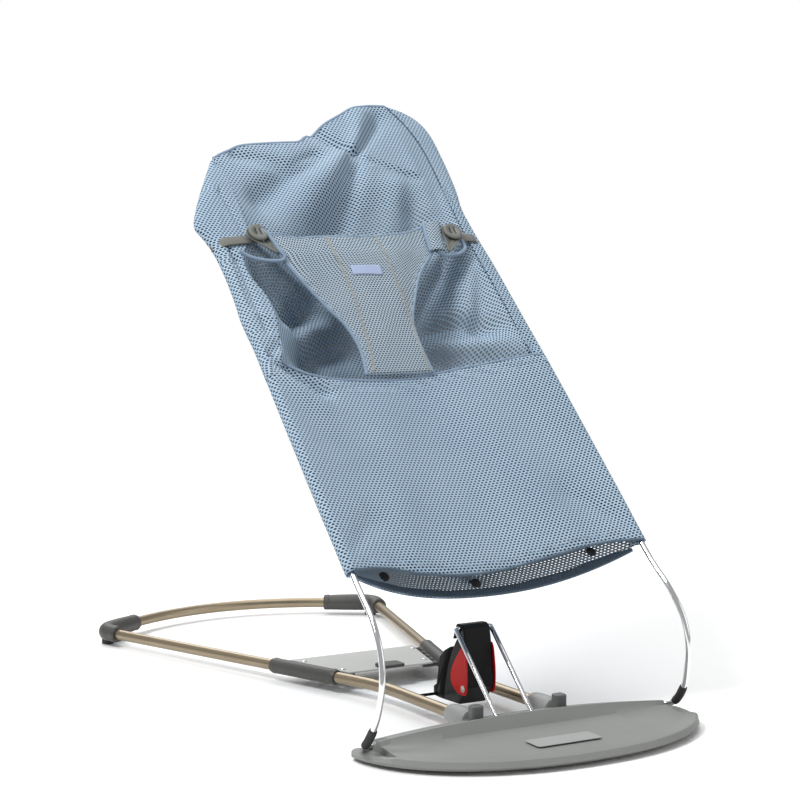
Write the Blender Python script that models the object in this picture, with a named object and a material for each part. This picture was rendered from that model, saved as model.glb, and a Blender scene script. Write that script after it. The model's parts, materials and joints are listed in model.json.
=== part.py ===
"""Bouncer seat for a baby: a weighted foot plate, a base of bent tubes, a sprung wire seat frame
with its height catch, and a mesh cover that slides over the frame. Metres, +Z up, front at -Y."""

import math

import bmesh
import bpy
from mathutils import Matrix, Vector

# ---------------------------------------------------------------- driving dimensions
GAP = 0.0003                      # air between pieces that touch

PLATE_HALF_WIDTH = 0.187          # foot plate, left to right
PLATE_FRONT = -0.4065             # foremost edge of the foot plate
PLATE_CREST = -0.290              # raised rear rim of the foot plate
PLATE_REAR = -0.262               # rear wall of the foot plate
PLATE_BOTTOM = 0.004
CREST_HEIGHT = 0.030              # rim height in the middle
CREST_HEIGHT_END = 0.019          # rim height at the two tips

AXIS_Y = -0.274                   # torsion wire's axis, on which the seat turns
AXIS_Z = 0.0105
WIRE_RADIUS = 0.0029              # outer spring wire
LEVER_RADIUS = 0.0024             # inner lever wire
STUB_SPLIT = 0.102                # where the torsion wire changes from lever to frame
LEVER_X = 0.0205                  # half distance between the two lever arms
BAR_Y = -0.191                    # lever's cross bar, held by the catch
BAR_Z = 0.091

TUBE_RADIUS = 0.006
TUBE_X_FRONT = 0.048              # half distance between the base tubes at the sockets
TUBE_X_REAR = 0.174
TUBE_SOCKET_Y = -0.2265
TUBE_BEND_Y = -0.090
TUBE_REAR_Y = 0.305
TUBE_Z_FRONT = 0.0180
TUBE_Z_REAR = 0.0145
CROSS_X = 0.128                   # where the cross tube meets its elbow
CROSS_Y = 0.364
CROSS_SAG = 0.0365                # how far the cross tube bows to the rear
ELBOW_RADIUS = 0.0092
SLEEVE_RADIUS = 0.0083
SLEEVE_FRONT_Y = -0.030
SLEEVE_REAR_Y = 0.061

ROD_Y = -0.146                    # thin cross rod that carries the catch housing
ROD_Z = 0.0170
ROD_RADIUS = 0.0015
HOUSING_HALF = 0.0155
CATCH_Y = -0.199                  # pivot of the red catch plates
CATCH_Z = 0.032

SEAT_ANGLE = math.radians(45.0)   # seat plane above the horizontal at its highest setting
HEM_Y = -0.2455                   # where the wires enter the cover
HEM_Z = 0.1680
SLEEVE_R = 0.0065                 # cover's sleeve round the wire, to the cloth's middle
CLOTH = 0.0016                    # cloth thickness
WAIST = 0.2440                    # top edge of the lower panel, along the seat from the hem
STRAP = 0.4270                    # height of the straps, along the seat from the hem
HEAD_START = 0.4560               # where the side sleeves become the head sleeve
FRONT_SAG = 0.018
HEM_SAG = 0.036                   # the rear layer's sag at the hem, clear of the catch when reclined
HEM_DROP = 0.010
STUD_X = 0.1195
STUD_TRAVEL = 0.008

# half width of the wire frame at each distance along the seat
RAIL = [(0.0, 0.168), (0.12, 0.1665), (0.244, 0.1640), (0.34, 0.1605), (0.43, 0.1555), (0.457, 0.1545)]
# the cover's top edge, from the left sleeve over the head to the right sleeve
HEAD_EDGE = [(-0.1545, 0.4560), (-0.1543, 0.4700), (-0.1530, 0.5000), (-0.1420, 0.5380), (-0.1140, 0.5590),
             (-0.0600, 0.5740), (0.0000, 0.5880), (0.0500, 0.6180), (0.1000, 0.6420), (0.1380, 0.6430),
             (0.1600, 0.6150), (0.1660, 0.5700), (0.1600, 0.5100), (0.1548, 0.4750), (0.1545, 0.4560)]


# ---------------------------------------------------------------- scene and materials
def clear_scene():
    for old in list(bpy.data.objects):
        bpy.data.objects.remove(old, do_unlink=True)


def material(name, colour, roughness, metallic=0.0):
    made = bpy.data.materials.new(name)
    made.use_nodes = True
    shader = made.node_tree.nodes["Principled BSDF"]
    shader.inputs["Base Color"].default_value = (*colour, 1.0)
    shader.inputs["Roughness"].default_value = roughness
    shader.inputs["Metallic"].default_value = metallic
    return made


def make_materials():
    return {
        "mesh": material("blue_mesh", (0.18, 0.26, 0.37), 0.85),
        "bib": material("pale_mesh", (0.25, 0.31, 0.39), 0.85),
        "webbing": material("grey_webbing", (0.32, 0.32, 0.29), 0.8),
        "buckle": material("buckle_grey", (0.24, 0.24, 0.22), 0.5),
        "chrome": material("chrome_wire", (0.72, 0.72, 0.74), 0.12, 1.0),
        "bronze": material("bronze_tube", (0.36, 0.30, 0.21), 0.35, 0.9),
        "dark": material("dark_grey_plastic", (0.07, 0.07, 0.07), 0.55),
        "plate": material("plate_grey_rubber", (0.20, 0.205, 0.195), 0.6),
        "socket": material("socket_grey", (0.24, 0.24, 0.24), 0.5),
        "black": material("black_plastic", (0.015, 0.015, 0.016), 0.45),
        "red": material("red_plastic", (0.42, 0.02, 0.018), 0.4),
        "steel": material("bright_steel", (0.6, 0.6, 0.6), 0.3, 1.0),
        "stay": material("pale_stay", (0.42, 0.42, 0.40), 0.5),
        "rubber": material("black_rubber", (0.03, 0.03, 0.03), 0.8),
        "label": material("label_blue", (0.20, 0.28, 0.48), 0.6),
    }


# ---------------------------------------------------------------- curves
def table(points, value):
    """Reads a smooth value from a short table of (position, value)."""
    for (low, a), (high, b) in zip(points, points[1:]):
        if value <= high:
            break
    t = min(1.0, max(0.0, (value - low) / (high - low)))
    return a + (b - a) * t


def smooth_path(points, per_span):
    """A Catmull-Rom curve through the points, with per_span steps from each to the next."""
    knots = [Vector(p) for p in points]
    knots = [2 * knots[0] - knots[1], *knots, 2 * knots[-1] - knots[-2]]
    path = []
    for a, b, c, d in zip(knots, knots[1:], knots[2:], knots[3:]):
        for step in range(per_span):
            t = step / per_span
            path.append(0.5 * (2 * b + (c - a) * t + (2 * a - 5 * b + 4 * c - d) * t**2
                               + (3 * b - a - 3 * c + d) * t**3))
    path.append(knots[-2])
    return path


def ring_frames(path):
    """Two directions across the path at each point, carried along without twist."""
    tangents = []
    for index in range(len(path)):
        before = path[max(0, index - 1)]
        after = path[min(len(path) - 1, index + 1)]
        tangents.append((after - before).normalized())
    across = tangents[0].orthogonal().normalized()
    frames = []
    for tangent in tangents:
        across = (across - tangent * across.dot(tangent)).normalized()
        frames.append((across, tangent.cross(across)))
    return frames


def rings(path, radius, sides):
    loops = []
    for point, (u, v) in zip(path, ring_frames(path)):
        turn = [2 * math.pi * k / sides for k in range(sides)]
        loops.append([point + radius * (math.cos(a) * u + math.sin(a) * v) for a in turn])
    return loops


# ---------------------------------------------------------------- solids
def finish_object(name, bm, look, parent=None, smooth=True):
    bmesh.ops.recalc_face_normals(bm, faces=bm.faces)
    mesh = bpy.data.meshes.new(name)
    bm.to_mesh(mesh)
    bm.free()
    if smooth:
        mesh.shade_smooth()
        mesh.set_sharp_from_angle(angle=math.radians(35))
    made = bpy.data.objects.new(name, mesh)
    bpy.context.scene.collection.objects.link(made)
    if look is not None:
        mesh.materials.append(look)
    made.parent = parent
    return made


def loft(name, sections, look, parent=None, closed=False, smooth=True):
    """Joins equal rings one after another; capped at both ends, or closed on itself."""
    bm = bmesh.new()
    loops = [[bm.verts.new(p) for p in section] for section in sections]
    pairs = list(zip(loops, loops[1:]))
    if closed:
        pairs.append((loops[-1], loops[0]))
    for first, second in pairs:
        count = len(first)
        for k in range(count):
            after = (k + 1) % count
            bm.faces.new((first[k], first[after], second[after], second[k]))
    if not closed:
        bm.faces.new(loops[0])
        bm.faces.new(list(reversed(loops[-1])))
    return finish_object(name, bm, look, parent, smooth)


def rod(name, path, radius, look, parent=None, sides=8):
    return loft(name, rings([Vector(p) for p in path], radius, sides), look, parent)


def hollow_rod(name, path, outer, inner, look, parent=None, sides=10):
    path = [Vector(p) for p in path]
    outside = rings(path, outer, sides)
    inside = rings(path, inner, sides)
    return loft(name, outside + list(reversed(inside)), look, parent, closed=True)


def prism(name, outline, low, high, axis, look, parent=None, smooth=False):
    """Extrudes a flat outline along x, y or z, from low to high."""
    def place(a, b, depth):
        return {"x": Vector((depth, a, b)), "y": Vector((a, depth, b)), "z": Vector((a, b, depth))}[axis]
    sections = [[place(a, b, depth) for a, b in outline] for depth in (low, high)]
    return loft(name, sections, look, parent, smooth=smooth)


def box_outline(low_a, low_b, high_a, high_b, corner=0.0, steps=2):
    """A rectangle's outline, with its corners rounded when a radius is given."""
    if corner == 0.0:
        return [(low_a, low_b), (high_a, low_b), (high_a, high_b), (low_a, high_b)]
    centres = [(high_a - corner, high_b - corner, 0), (low_a + corner, high_b - corner, 90),
               (low_a + corner, low_b + corner, 180), (high_a - corner, low_b + corner, 270)]
    outline = []
    for a, b, start in centres:
        for step in range(steps + 1):
            turn = math.radians(start + 90 * step / steps)
            outline.append((a + corner * math.cos(turn), b + corner * math.sin(turn)))
    return outline


def circle(centre_a, centre_b, radius, sides=12):
    turns = [2 * math.pi * k / sides for k in range(sides)]
    return [(centre_a + radius * math.cos(t), centre_b + radius * math.sin(t)) for t in turns]


def sheet(name, grid, thickness, look, parent=None):
    """A grid of points given the cloth's thickness, half on each side, as one closed skin."""
    bm = bmesh.new()
    rows = [[bm.verts.new(p) for p in row] for row in grid]
    for lower, upper in zip(rows, rows[1:]):
        for k in range(len(lower) - 1):
            bm.faces.new((lower[k], lower[k + 1], upper[k + 1], upper[k]))
    made = finish_object(name, bm, look, parent)
    wall = made.modifiers.new("cloth", "SOLIDIFY")
    wall.thickness = thickness
    wall.offset = 0.0
    return made


def cutter(made):
    made.hide_render = True
    made.display_type = "WIRE"
    return made


def combine(target, other, operation):
    step = target.modifiers.new(other.name, "BOOLEAN")
    step.operation = operation
    step.solver = "EXACT"
    step.object = other
    cutter(other)


def mirrored(points):
    """A path that runs from its left half, as given, through to the mirrored right half."""
    right = [Vector((-p[0], p[1], p[2])) for p in reversed(points)]
    if (right[0] - Vector(points[-1])).length < GAP:
        right = right[1:]
    return [Vector(p) for p in points] + right


# ---------------------------------------------------------------- foot plate
def plate_front(x):
    """Front edge of the half-moon foot plate at x."""
    reach = max(0.0, 1.0 - abs(x / PLATE_HALF_WIDTH) ** 2.2) ** 0.5
    return PLATE_CREST + 0.006 + (PLATE_FRONT - PLATE_CREST - 0.006) * reach


def plate_rear(x):
    """Rear edge, straight in the middle and rounded at the tips."""
    tip = max(0.0, (abs(x) - 0.172) / (PLATE_HALF_WIDTH - 0.172))
    return PLATE_REAR - 0.016 * tip**2


def plate_section(x):
    front = plate_front(x)
    rear = plate_rear(x)
    crest = PLATE_CREST + 0.002
    rim = CREST_HEIGHT + (CREST_HEIGHT_END - CREST_HEIGHT) * abs(x / PLATE_HALF_WIDTH) ** 2
    depth = crest - front
    profile = [
        (rear, PLATE_BOTTOM),
        (front + min(0.004, 0.3 * depth), PLATE_BOTTOM),
        (front, PLATE_BOTTOM + 0.003),
        (front + min(0.003, 0.15 * depth), 0.0125),
        (front + min(0.0065, 0.3 * depth), 0.0130),
        (front + min(0.0120, 0.45 * depth), 0.0105),
        (front + 0.70 * depth, 0.0120),
        (crest - min(0.006, 0.15 * depth), rim - 0.004),
        (crest, rim),
        (crest + 0.004, rim - 0.0005),
        (crest + 0.008, 0.0215 - 0.004 * abs(x / PLATE_HALF_WIDTH) ** 2),
        (rear, 0.0210 - 0.004 * abs(x / PLATE_HALF_WIDTH) ** 2),
    ]
    return [Vector((x, y, z)) for y, z in profile]


def build_footplate(looks):
    stations = 26
    places = [PLATE_HALF_WIDTH * math.sin(math.pi / 2 * (2 * k / stations - 1)) for k in range(stations + 1)]
    places[0] = -PLATE_HALF_WIDTH + 0.0008
    places[-1] = PLATE_HALF_WIDTH - 0.0008
    plate = loft("footplate", [plate_section(x) for x in places], looks["plate"])

    groove = circle(AXIS_Y, AXIS_Z, WIRE_RADIUS + 0.0007, 12)
    channel = prism("channel_cut", groove, -0.1745, 0.1745, "x", None)
    combine(plate, channel, "DIFFERENCE")
    for side, name in ((-1, "left"), (1, "right")):
        low, high = sorted((side * (LEVER_X - 0.0034), side * (LEVER_X + 0.0034)))
        slot = box_outline(AXIS_Y - 0.0045, AXIS_Z - 0.0045, PLATE_REAR + 0.01, 0.06)
        combine(plate, prism(f"lever_slot_{name}", slot, low, high, "x", None), "DIFFERENCE")
        low, high = sorted((side * 0.1640, side * 0.1850))
        notch = [(AXIS_Y - 0.0270, 0.0070), (AXIS_Y + 0.0052, 0.0058), (AXIS_Y + 0.0052, 0.05),
                 (AXIS_Y - 0.045, 0.05)]
        combine(plate, prism(f"wire_notch_{name}", notch, low, high, "x", None), "DIFFERENCE")

    inner = PLATE_HALF_WIDTH - 0.016
    turns = [math.radians(degrees) for degrees in range(-84, 85, 12)]
    outline = [(inner * math.sin(t), PLATE_FRONT + 0.014 + 0.104 * (1 - math.cos(t))) for t in turns]
    outline += [(inner - 0.004, PLATE_REAR - 0.010), (-inner + 0.004, PLATE_REAR - 0.010)]
    prism("bottom_cover", outline, 0.0019, PLATE_BOTTOM - GAP, "z", looks["dark"])

    for index, (x, y) in enumerate(((-0.145, -0.290), (0.145, -0.290), (-0.070, -0.370), (0.070, -0.370))):
        pad = box_outline(x - 0.014, y - 0.005, x + 0.014, y + 0.005, 0.0045)
        prism(f"foot_pad_{index + 1}", pad, 0.0, 0.0019 - GAP, "z", looks["rubber"])

    for index, (x, y) in enumerate(((-0.110, -0.290), (0.110, -0.290), (-0.035, -0.380), (0.035, -0.380))):
        prism(f"cover_screw_{index + 1}", circle(x, y, 0.0035, 10), 0.0008, 0.0019 - GAP, "z", looks["steel"])

    tilt = math.atan2(0.0120 - 0.0105, 0.70 * 0.1165 - 0.012)
    panel = prism("caution_panel", box_outline(-0.036, -0.0125, 0.036, 0.0125, 0.003), 0.0, 0.0006, "z",
                  looks["socket"])
    panel.location = (0.0, -0.3500, 0.0119 + GAP)
    panel.rotation_euler = (tilt, 0.0, 0.0)


def build_sockets(looks):
    for side, name in ((-1, "left"), (1, "right")):
        x = side * TUBE_X_FRONT
        start = PLATE_REAR + GAP
        shape = [(start, 0.0086), (start + 0.004, 0.0100), (start + 0.012, 0.0104), (-0.234, 0.0100),
                 (-0.228, 0.0088), (-0.2262, 0.0078)]
        sections = []
        for y, radius in shape:
            sections.append([Vector((a, y, b)) for a, b in circle(x, TUBE_Z_FRONT, radius, 16)])
        socket = loft(f"tube_socket_{name}", sections, looks["socket"])
        hole = circle(x, TUBE_Z_FRONT, TUBE_RADIUS + GAP, 16)
        bore = prism(f"socket_bore_{name}", hole, -0.2560, -0.20, "y", None)
        combine(socket, bore, "DIFFERENCE")

        block = prism(f"bumper_{name}", box_outline(x - 0.0085, -0.2800, x + 0.0085, -0.2640, 0.003),
                      0.0215 + GAP, 0.0345, "z", looks["socket"], smooth=True)
        edge = block.modifiers.new("soft edge", "BEVEL")
        edge.width = 0.0012
        edge.segments = 1
        edge.limit_method = "ANGLE"


# ---------------------------------------------------------------- base frame
def side_tube_point(side, y):
    """Centre of a base tube at a distance y: straight, one easy bend, then straight again."""
    slope = (TUBE_X_REAR - TUBE_X_FRONT) / (TUBE_REAR_Y - TUBE_BEND_Y)
    ease = 0.035
    past = y - TUBE_BEND_Y
    if past <= -ease:
        offset = 0.0
    elif past >= ease:
        offset = slope * past
    else:
        offset = slope * (past + ease) ** 2 / (4 * ease)
    along = (y - TUBE_SOCKET_Y) / (TUBE_REAR_Y - TUBE_SOCKET_Y)
    height = TUBE_Z_FRONT + (TUBE_Z_REAR - TUBE_Z_FRONT) * max(0.0, along)
    return Vector((side * (TUBE_X_FRONT + offset), y, height))


def cross_tube_point(x):
    return Vector((x, CROSS_Y + CROSS_SAG * (1 - (x / CROSS_X) ** 2), TUBE_Z_REAR))


def elbow_path(side):
    """The elbow's centre line: on from the side tube, round the corner and along the cross tube."""
    start = side_tube_point(side, TUBE_REAR_Y)
    start.z = TUBE_Z_REAR
    inwards = (cross_tube_point(side * (CROSS_X + 0.02)) - cross_tube_point(side * CROSS_X)).normalized()
    forwards = (side_tube_point(side, TUBE_REAR_Y) - side_tube_point(side, TUBE_REAR_Y - 0.02))
    forwards = Vector((forwards.x, forwards.y, 0.0)).normalized()
    end = cross_tube_point(side * CROSS_X)
    path = [start, start + forwards * 0.006]
    corner_in = start + forwards * 0.013
    corner_out = end + inwards * 0.046
    control = start + forwards * 0.0275
    for step in range(7):
        t = step / 6
        path.append((1 - t) ** 2 * corner_in + 2 * t * (1 - t) * control + t**2 * corner_out)
    path.extend([end + inwards * 0.03, end + inwards * 0.012, end])
    return path


def build_base_tubes(looks):
    for side, name in ((-1, "left"), (1, "right")):
        stops = [-0.2555, -0.190, -0.125, -0.112, -0.101, -0.090, -0.079, -0.068, -0.055, 0.060, 0.180,
                 TUBE_REAR_Y + 0.010]
        path = [side_tube_point(side, y) for y in stops]
        path[0].z = TUBE_Z_FRONT
        rod(f"base_tube_{name}", path, TUBE_RADIUS, looks["bronze"], sides=12)

        elbow = rod(f"rear_elbow_{name}", elbow_path(side), ELBOW_RADIUS, looks["dark"], sides=12)
        bore = rod(f"side_bore_{name}", [side_tube_point(side, y) for y in (0.27, TUBE_REAR_Y + 0.0106)],
                   TUBE_RADIUS + GAP, None, sides=12)
        combine(elbow, bore, "DIFFERENCE")
        bore = rod(f"cross_bore_{name}", [cross_tube_point(side * x) for x in (0.10, 0.12, 0.1290, 0.1380)],
                   TUBE_RADIUS + 2 * GAP, None, sides=12)
        combine(elbow, bore, "DIFFERENCE")

    stops = [-0.1370, -0.128, -0.115, -0.095, -0.072, -0.048, -0.024, 0.0, 0.024, 0.048, 0.072, 0.095, 0.115,
             0.128, 0.1370]
    rod("rear_cross_tube", [cross_tube_point(x) for x in stops], TUBE_RADIUS, looks["bronze"], sides=12)

    for side, name in ((-1, "left"), (1, "right")):
        centre = elbow_path(side)[6]
        top = TUBE_Z_REAR - ELBOW_RADIUS - GAP
        prism(f"elbow_pad_{name}", circle(centre.x, centre.y, 0.0070, 14), 0.0, top, "z", looks["rubber"])

    reach = TUBE_X_FRONT - TUBE_RADIUS - GAP
    rod("cross_rod", [(-reach, ROD_Y, ROD_Z), (reach, ROD_Y, ROD_Z)], ROD_RADIUS, looks["black"])


def build_stay(looks):
    middle = 0.5 * (SLEEVE_FRONT_Y + SLEEVE_REAR_Y)
    height = side_tube_point(1, middle).z
    corners = []
    for side, name in ((-1, "left"), (1, "right")):
        path = [side_tube_point(side, y) for y in (SLEEVE_FRONT_Y, middle, SLEEVE_REAR_Y)]
        sleeve = hollow_rod(f"plate_sleeve_{name}", path, SLEEVE_RADIUS, TUBE_RADIUS + GAP, looks["dark"],
                            sides=14)
        front = side_tube_point(side, SLEEVE_FRONT_Y + 0.006)
        rear = side_tube_point(side, SLEEVE_REAR_Y - 0.006)
        near, far = side * 0.0072, side * 0.0270
        outline = [(front.x - near, front.y), (front.x - far, front.y), (rear.x - far, rear.y),
                   (rear.x - near, rear.y)]
        flange = prism(f"flange_{name}", outline, height - 0.0022, height + 0.0016, "z", None)
        combine(sleeve, flange, "UNION")
        for k in range(4):
            y = front.y + (0.014 + 0.0165 * k)
            x = side_tube_point(side, y).x - side * 0.0125
            opening = box_outline(x - 0.0028, y - 0.0045, x + 0.0028, y + 0.0045)
            slot = prism(f"flange_slot_{name}_{k}", opening, height - 0.01, height + 0.01, "z", None)
            combine(sleeve, slot, "DIFFERENCE")
        for y, end in ((front.y + 0.012, "front"), (rear.y - 0.012, "rear")):
            x = side_tube_point(side, y).x - side * 0.0225
            prism(f"stay_rivet_{name}_{end}", circle(x, y, 0.0030, 10), height + 0.0034 + 2 * GAP,
                  height + 0.0048, "z", looks["steel"])
        corners.append((front.x - side * 0.0175, front.y, rear.x - side * 0.0175, rear.y))
    left, right = corners
    outline = [(left[0], left[1] - 0.004), (right[0], right[1] - 0.004), (right[2], right[3] + 0.004),
               (left[2], left[3] + 0.004)]
    prism("stay_plate", outline, height + 0.0016 + GAP, height + 0.0034 + GAP, "z", looks["stay"])
    hook = box_outline(-0.014, left[1] - 0.0105, 0.014, left[1] + 0.010, 0.004)
    prism("stay_hook", hook, height + 0.0034 + 2 * GAP, height + 0.0074, "z", looks["dark"])


# ---------------------------------------------------------------- height catch
def build_catch_housing(looks):
    profile = [(-0.2080, 0.0340), (-0.1900, 0.0105), (-0.1560, 0.0095), (-0.1400, 0.0105), (-0.1395, 0.0220),
               (-0.1450, 0.0270), (-0.1510, 0.0560), (-0.1600, 0.0640), (-0.1740, 0.0710), (-0.1790, 0.0850),
               (-0.1835, 0.0985), (-0.1925, 0.0995), (-0.1985, 0.0960), (-0.2010, 0.0800)]
    housing = prism("catch_housing", profile, -HOUSING_HALF, HOUSING_HALF, "x", looks["black"])
    edge = housing.modifiers.new("soft edge", "BEVEL")
    edge.width = 0.0008
    edge.segments = 1
    edge.limit_method = "ANGLE"
    edge.angle_limit = math.radians(40)

    reach = Vector((BAR_Y - AXIS_Y, BAR_Z - AXIS_Z))
    start = math.atan2(reach.y, reach.x)
    spread = LEVER_RADIUS + 0.0007
    inner, outer = reach.length - spread, reach.length + spread
    turns = [start + math.radians(1.6) - math.radians(43.5) * k / 10 for k in range(11)]
    arc = [(AXIS_Y + outer * math.cos(a), AXIS_Z + outer * math.sin(a)) for a in turns]
    arc += [(AXIS_Y + inner * math.cos(a), AXIS_Z + inner * math.sin(a)) for a in reversed(turns)]
    combine(housing, prism("bar_slot", arc, -0.03, 0.03, "x", None), "DIFFERENCE")
    combine(housing, prism("rod_bore", circle(ROD_Y, ROD_Z, ROD_RADIUS + GAP, 12), -0.03, 0.03, "x", None),
            "DIFFERENCE")
    combine(housing, prism("pin_bore", circle(CATCH_Y, CATCH_Z, 0.0023, 12), -0.03, 0.03, "x", None),
            "DIFFERENCE")


def build_catch(looks):
    pivot = bpy.data.objects.new("catch_axis", None)
    bpy.context.scene.collection.objects.link(pivot)
    pivot.location = (0.0, CATCH_Y, CATCH_Z)
    drop = [(-0.0062, -0.0030), (0.0000, -0.0068), (0.0130, -0.0050), (0.0225, 0.0030), (0.0235, 0.0130),
            (0.0170, 0.0250), (0.0075, 0.0370), (0.0010, 0.0440), (-0.0030, 0.0420), (-0.0060, 0.0300),
            (-0.0078, 0.0120)]
    for side, name in ((-1, "left"), (1, "right")):
        low, high = sorted((side * (HOUSING_HALF + GAP), side * 0.0170))
        cheek = prism(f"catch_plate_{name}", drop, low, high, "x", looks["red"], pivot)
        bore = prism(f"cheek_bore_{name}", circle(0.0, 0.0, 0.0023, 12), -0.03, 0.03, "x", None, pivot)
        combine(cheek, bore, "DIFFERENCE")
    stations = [(-0.0179, 0.0026), (-0.0176, 0.0036), (-0.0173, 0.0036), (-0.0173, 0.0020), (0.0173, 0.0020),
                (0.0173, 0.0036), (0.0176, 0.0036), (0.0179, 0.0026)]
    sections = [[Vector((x, a, b)) for a, b in circle(0.0, 0.0, radius, 12)] for x, radius in stations]
    loft("catch_pin", sections, looks["steel"], pivot)


# ---------------------------------------------------------------- spring wires
def along_seat(x, s, n=0.0):
    """A point of the seat plane in world coordinates: s up the seat, n off its front."""
    up = Vector((0.0, math.cos(SEAT_ANGLE), math.sin(SEAT_ANGLE)))
    off = Vector((0.0, -math.sin(SEAT_ANGLE), math.cos(SEAT_ANGLE)))
    return Vector((x, HEM_Y, HEM_Z)) + up * s + off * n


def build_wires(looks):
    axis = bpy.data.objects.new("recline_axis", None)
    bpy.context.scene.collection.objects.link(axis)
    axis.location = (0.0, AXIS_Y, AXIS_Z)
    bounce = bpy.data.objects.new("bounce_axis", None)
    bpy.context.scene.collection.objects.link(bounce)
    bounce.parent = axis
    centre = Vector((0.0, AXIS_Y, AXIS_Z))

    rise = Vector((0.0, BAR_Y - AXIS_Y, BAR_Z - AXIS_Z))
    arm = Vector((-LEVER_X, 0.0, 0.0))
    lever = [(-STUB_SPLIT + 0.001, 0.0, 0.0), (-0.060, 0.0, 0.0), arm + Vector((-0.0060, 0.0, 0.0)),
             arm + Vector((-0.0012, 0.0, 0.0)) + rise * 0.012, arm + rise * 0.07, arm + rise * 0.5,
             arm + rise * 0.95, arm + Vector((0.0012, 0.0, 0.0)) + rise * 0.99,
             arm + Vector((0.0050, 0.0, 0.0)) + rise]
    rod("lever_wire", mirrored(lever), LEVER_RADIUS, looks["chrome"], axis)

    lower = [(-STUB_SPLIT - 0.001, 0.0, 0.0), (-0.140, 0.0, 0.0), (-0.1660, 0.0, 0.0)]
    bend = [(-0.1740, -0.2765, 0.0110), (-0.1775, -0.2840, 0.0130), (-0.1782, -0.2930, 0.0200),
            (-0.1775, -0.3030, 0.0340), (-0.1760, -0.3090, 0.0500), (-0.1745, -0.3130, 0.0760),
            (-0.1725, -0.3070, 0.1040), (-0.1700, -0.2880, 0.1300), (-0.1685, -0.2660, 0.1490)]
    rails = [(-table(RAIL, s), s) for s in (0.0, 0.12, 0.244, 0.34, 0.43)]
    head = [(-0.1500, 0.4680), (-0.1400, 0.4980), (-0.1200, 0.5220), (-0.0900, 0.5380), (-0.0550, 0.5455),
            (0.0, 0.5480)]
    points = [Vector(p) for p in lower]
    points += [Vector(p) - centre for p in bend]
    points += [along_seat(x, s) - centre for x, s in rails + head]
    steps = 3
    path = smooth_path(mirrored(points), steps)
    rod("seat_wire", path, WIRE_RADIUS, looks["chrome"], bounce, sides=8)

    first, last = 4 * steps + 1, 6 * steps
    outer, inner = WIRE_RADIUS + 0.0026, WIRE_RADIUS + 2 * GAP
    hollow_rod("wire_bush_left", path[first:last], outer, inner, looks["rubber"], bounce)
    hollow_rod("wire_bush_right", path[-last:-first], outer, inner, looks["rubber"], bounce)
    return bounce, centre


# ---------------------------------------------------------------- mesh cover
def sleeve_section(edge, inwards, strip, lip):
    """Cloth round the wire, seen along it: a front strip, a half turn and a short rear lip."""
    x, s = edge
    points = [Vector((x + inwards[0] * strip, s + inwards[1] * strip, SLEEVE_R)),
              Vector((x + inwards[0] * strip * 0.5, s + inwards[1] * strip * 0.5, SLEEVE_R))]
    for step in range(7):
        turn = math.radians(90 - 30 * step)
        out = -SLEEVE_R * math.cos(turn)
        points.append(Vector((x + inwards[0] * out, s + inwards[1] * out, SLEEVE_R * math.sin(turn))))
    points.append(Vector((x + inwards[0] * lip, s + inwards[1] * lip, -SLEEVE_R)))
    return points


def sleeve_along(path, strip, lip=0.004):
    grid = []
    for index, (x, s) in enumerate(path):
        before = path[max(0, index - 1)]
        after = path[min(len(path) - 1, index + 1)]
        along = Vector((after[0] - before[0], after[1] - before[1])).normalized()
        grid.append(sleeve_section((x, s), (along.y, -along.x), strip, lip))
    return grid


def sag_depth(v):
    """How deep the seat hangs behind the rails, from the hem, v = 0, to the head, v = 1."""
    return table([(0.0, HEM_SAG), (0.15, 0.058), (0.35, 0.070), (0.6, 0.064), (0.8, 0.040), (1.0, 0.004)], v)


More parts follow.
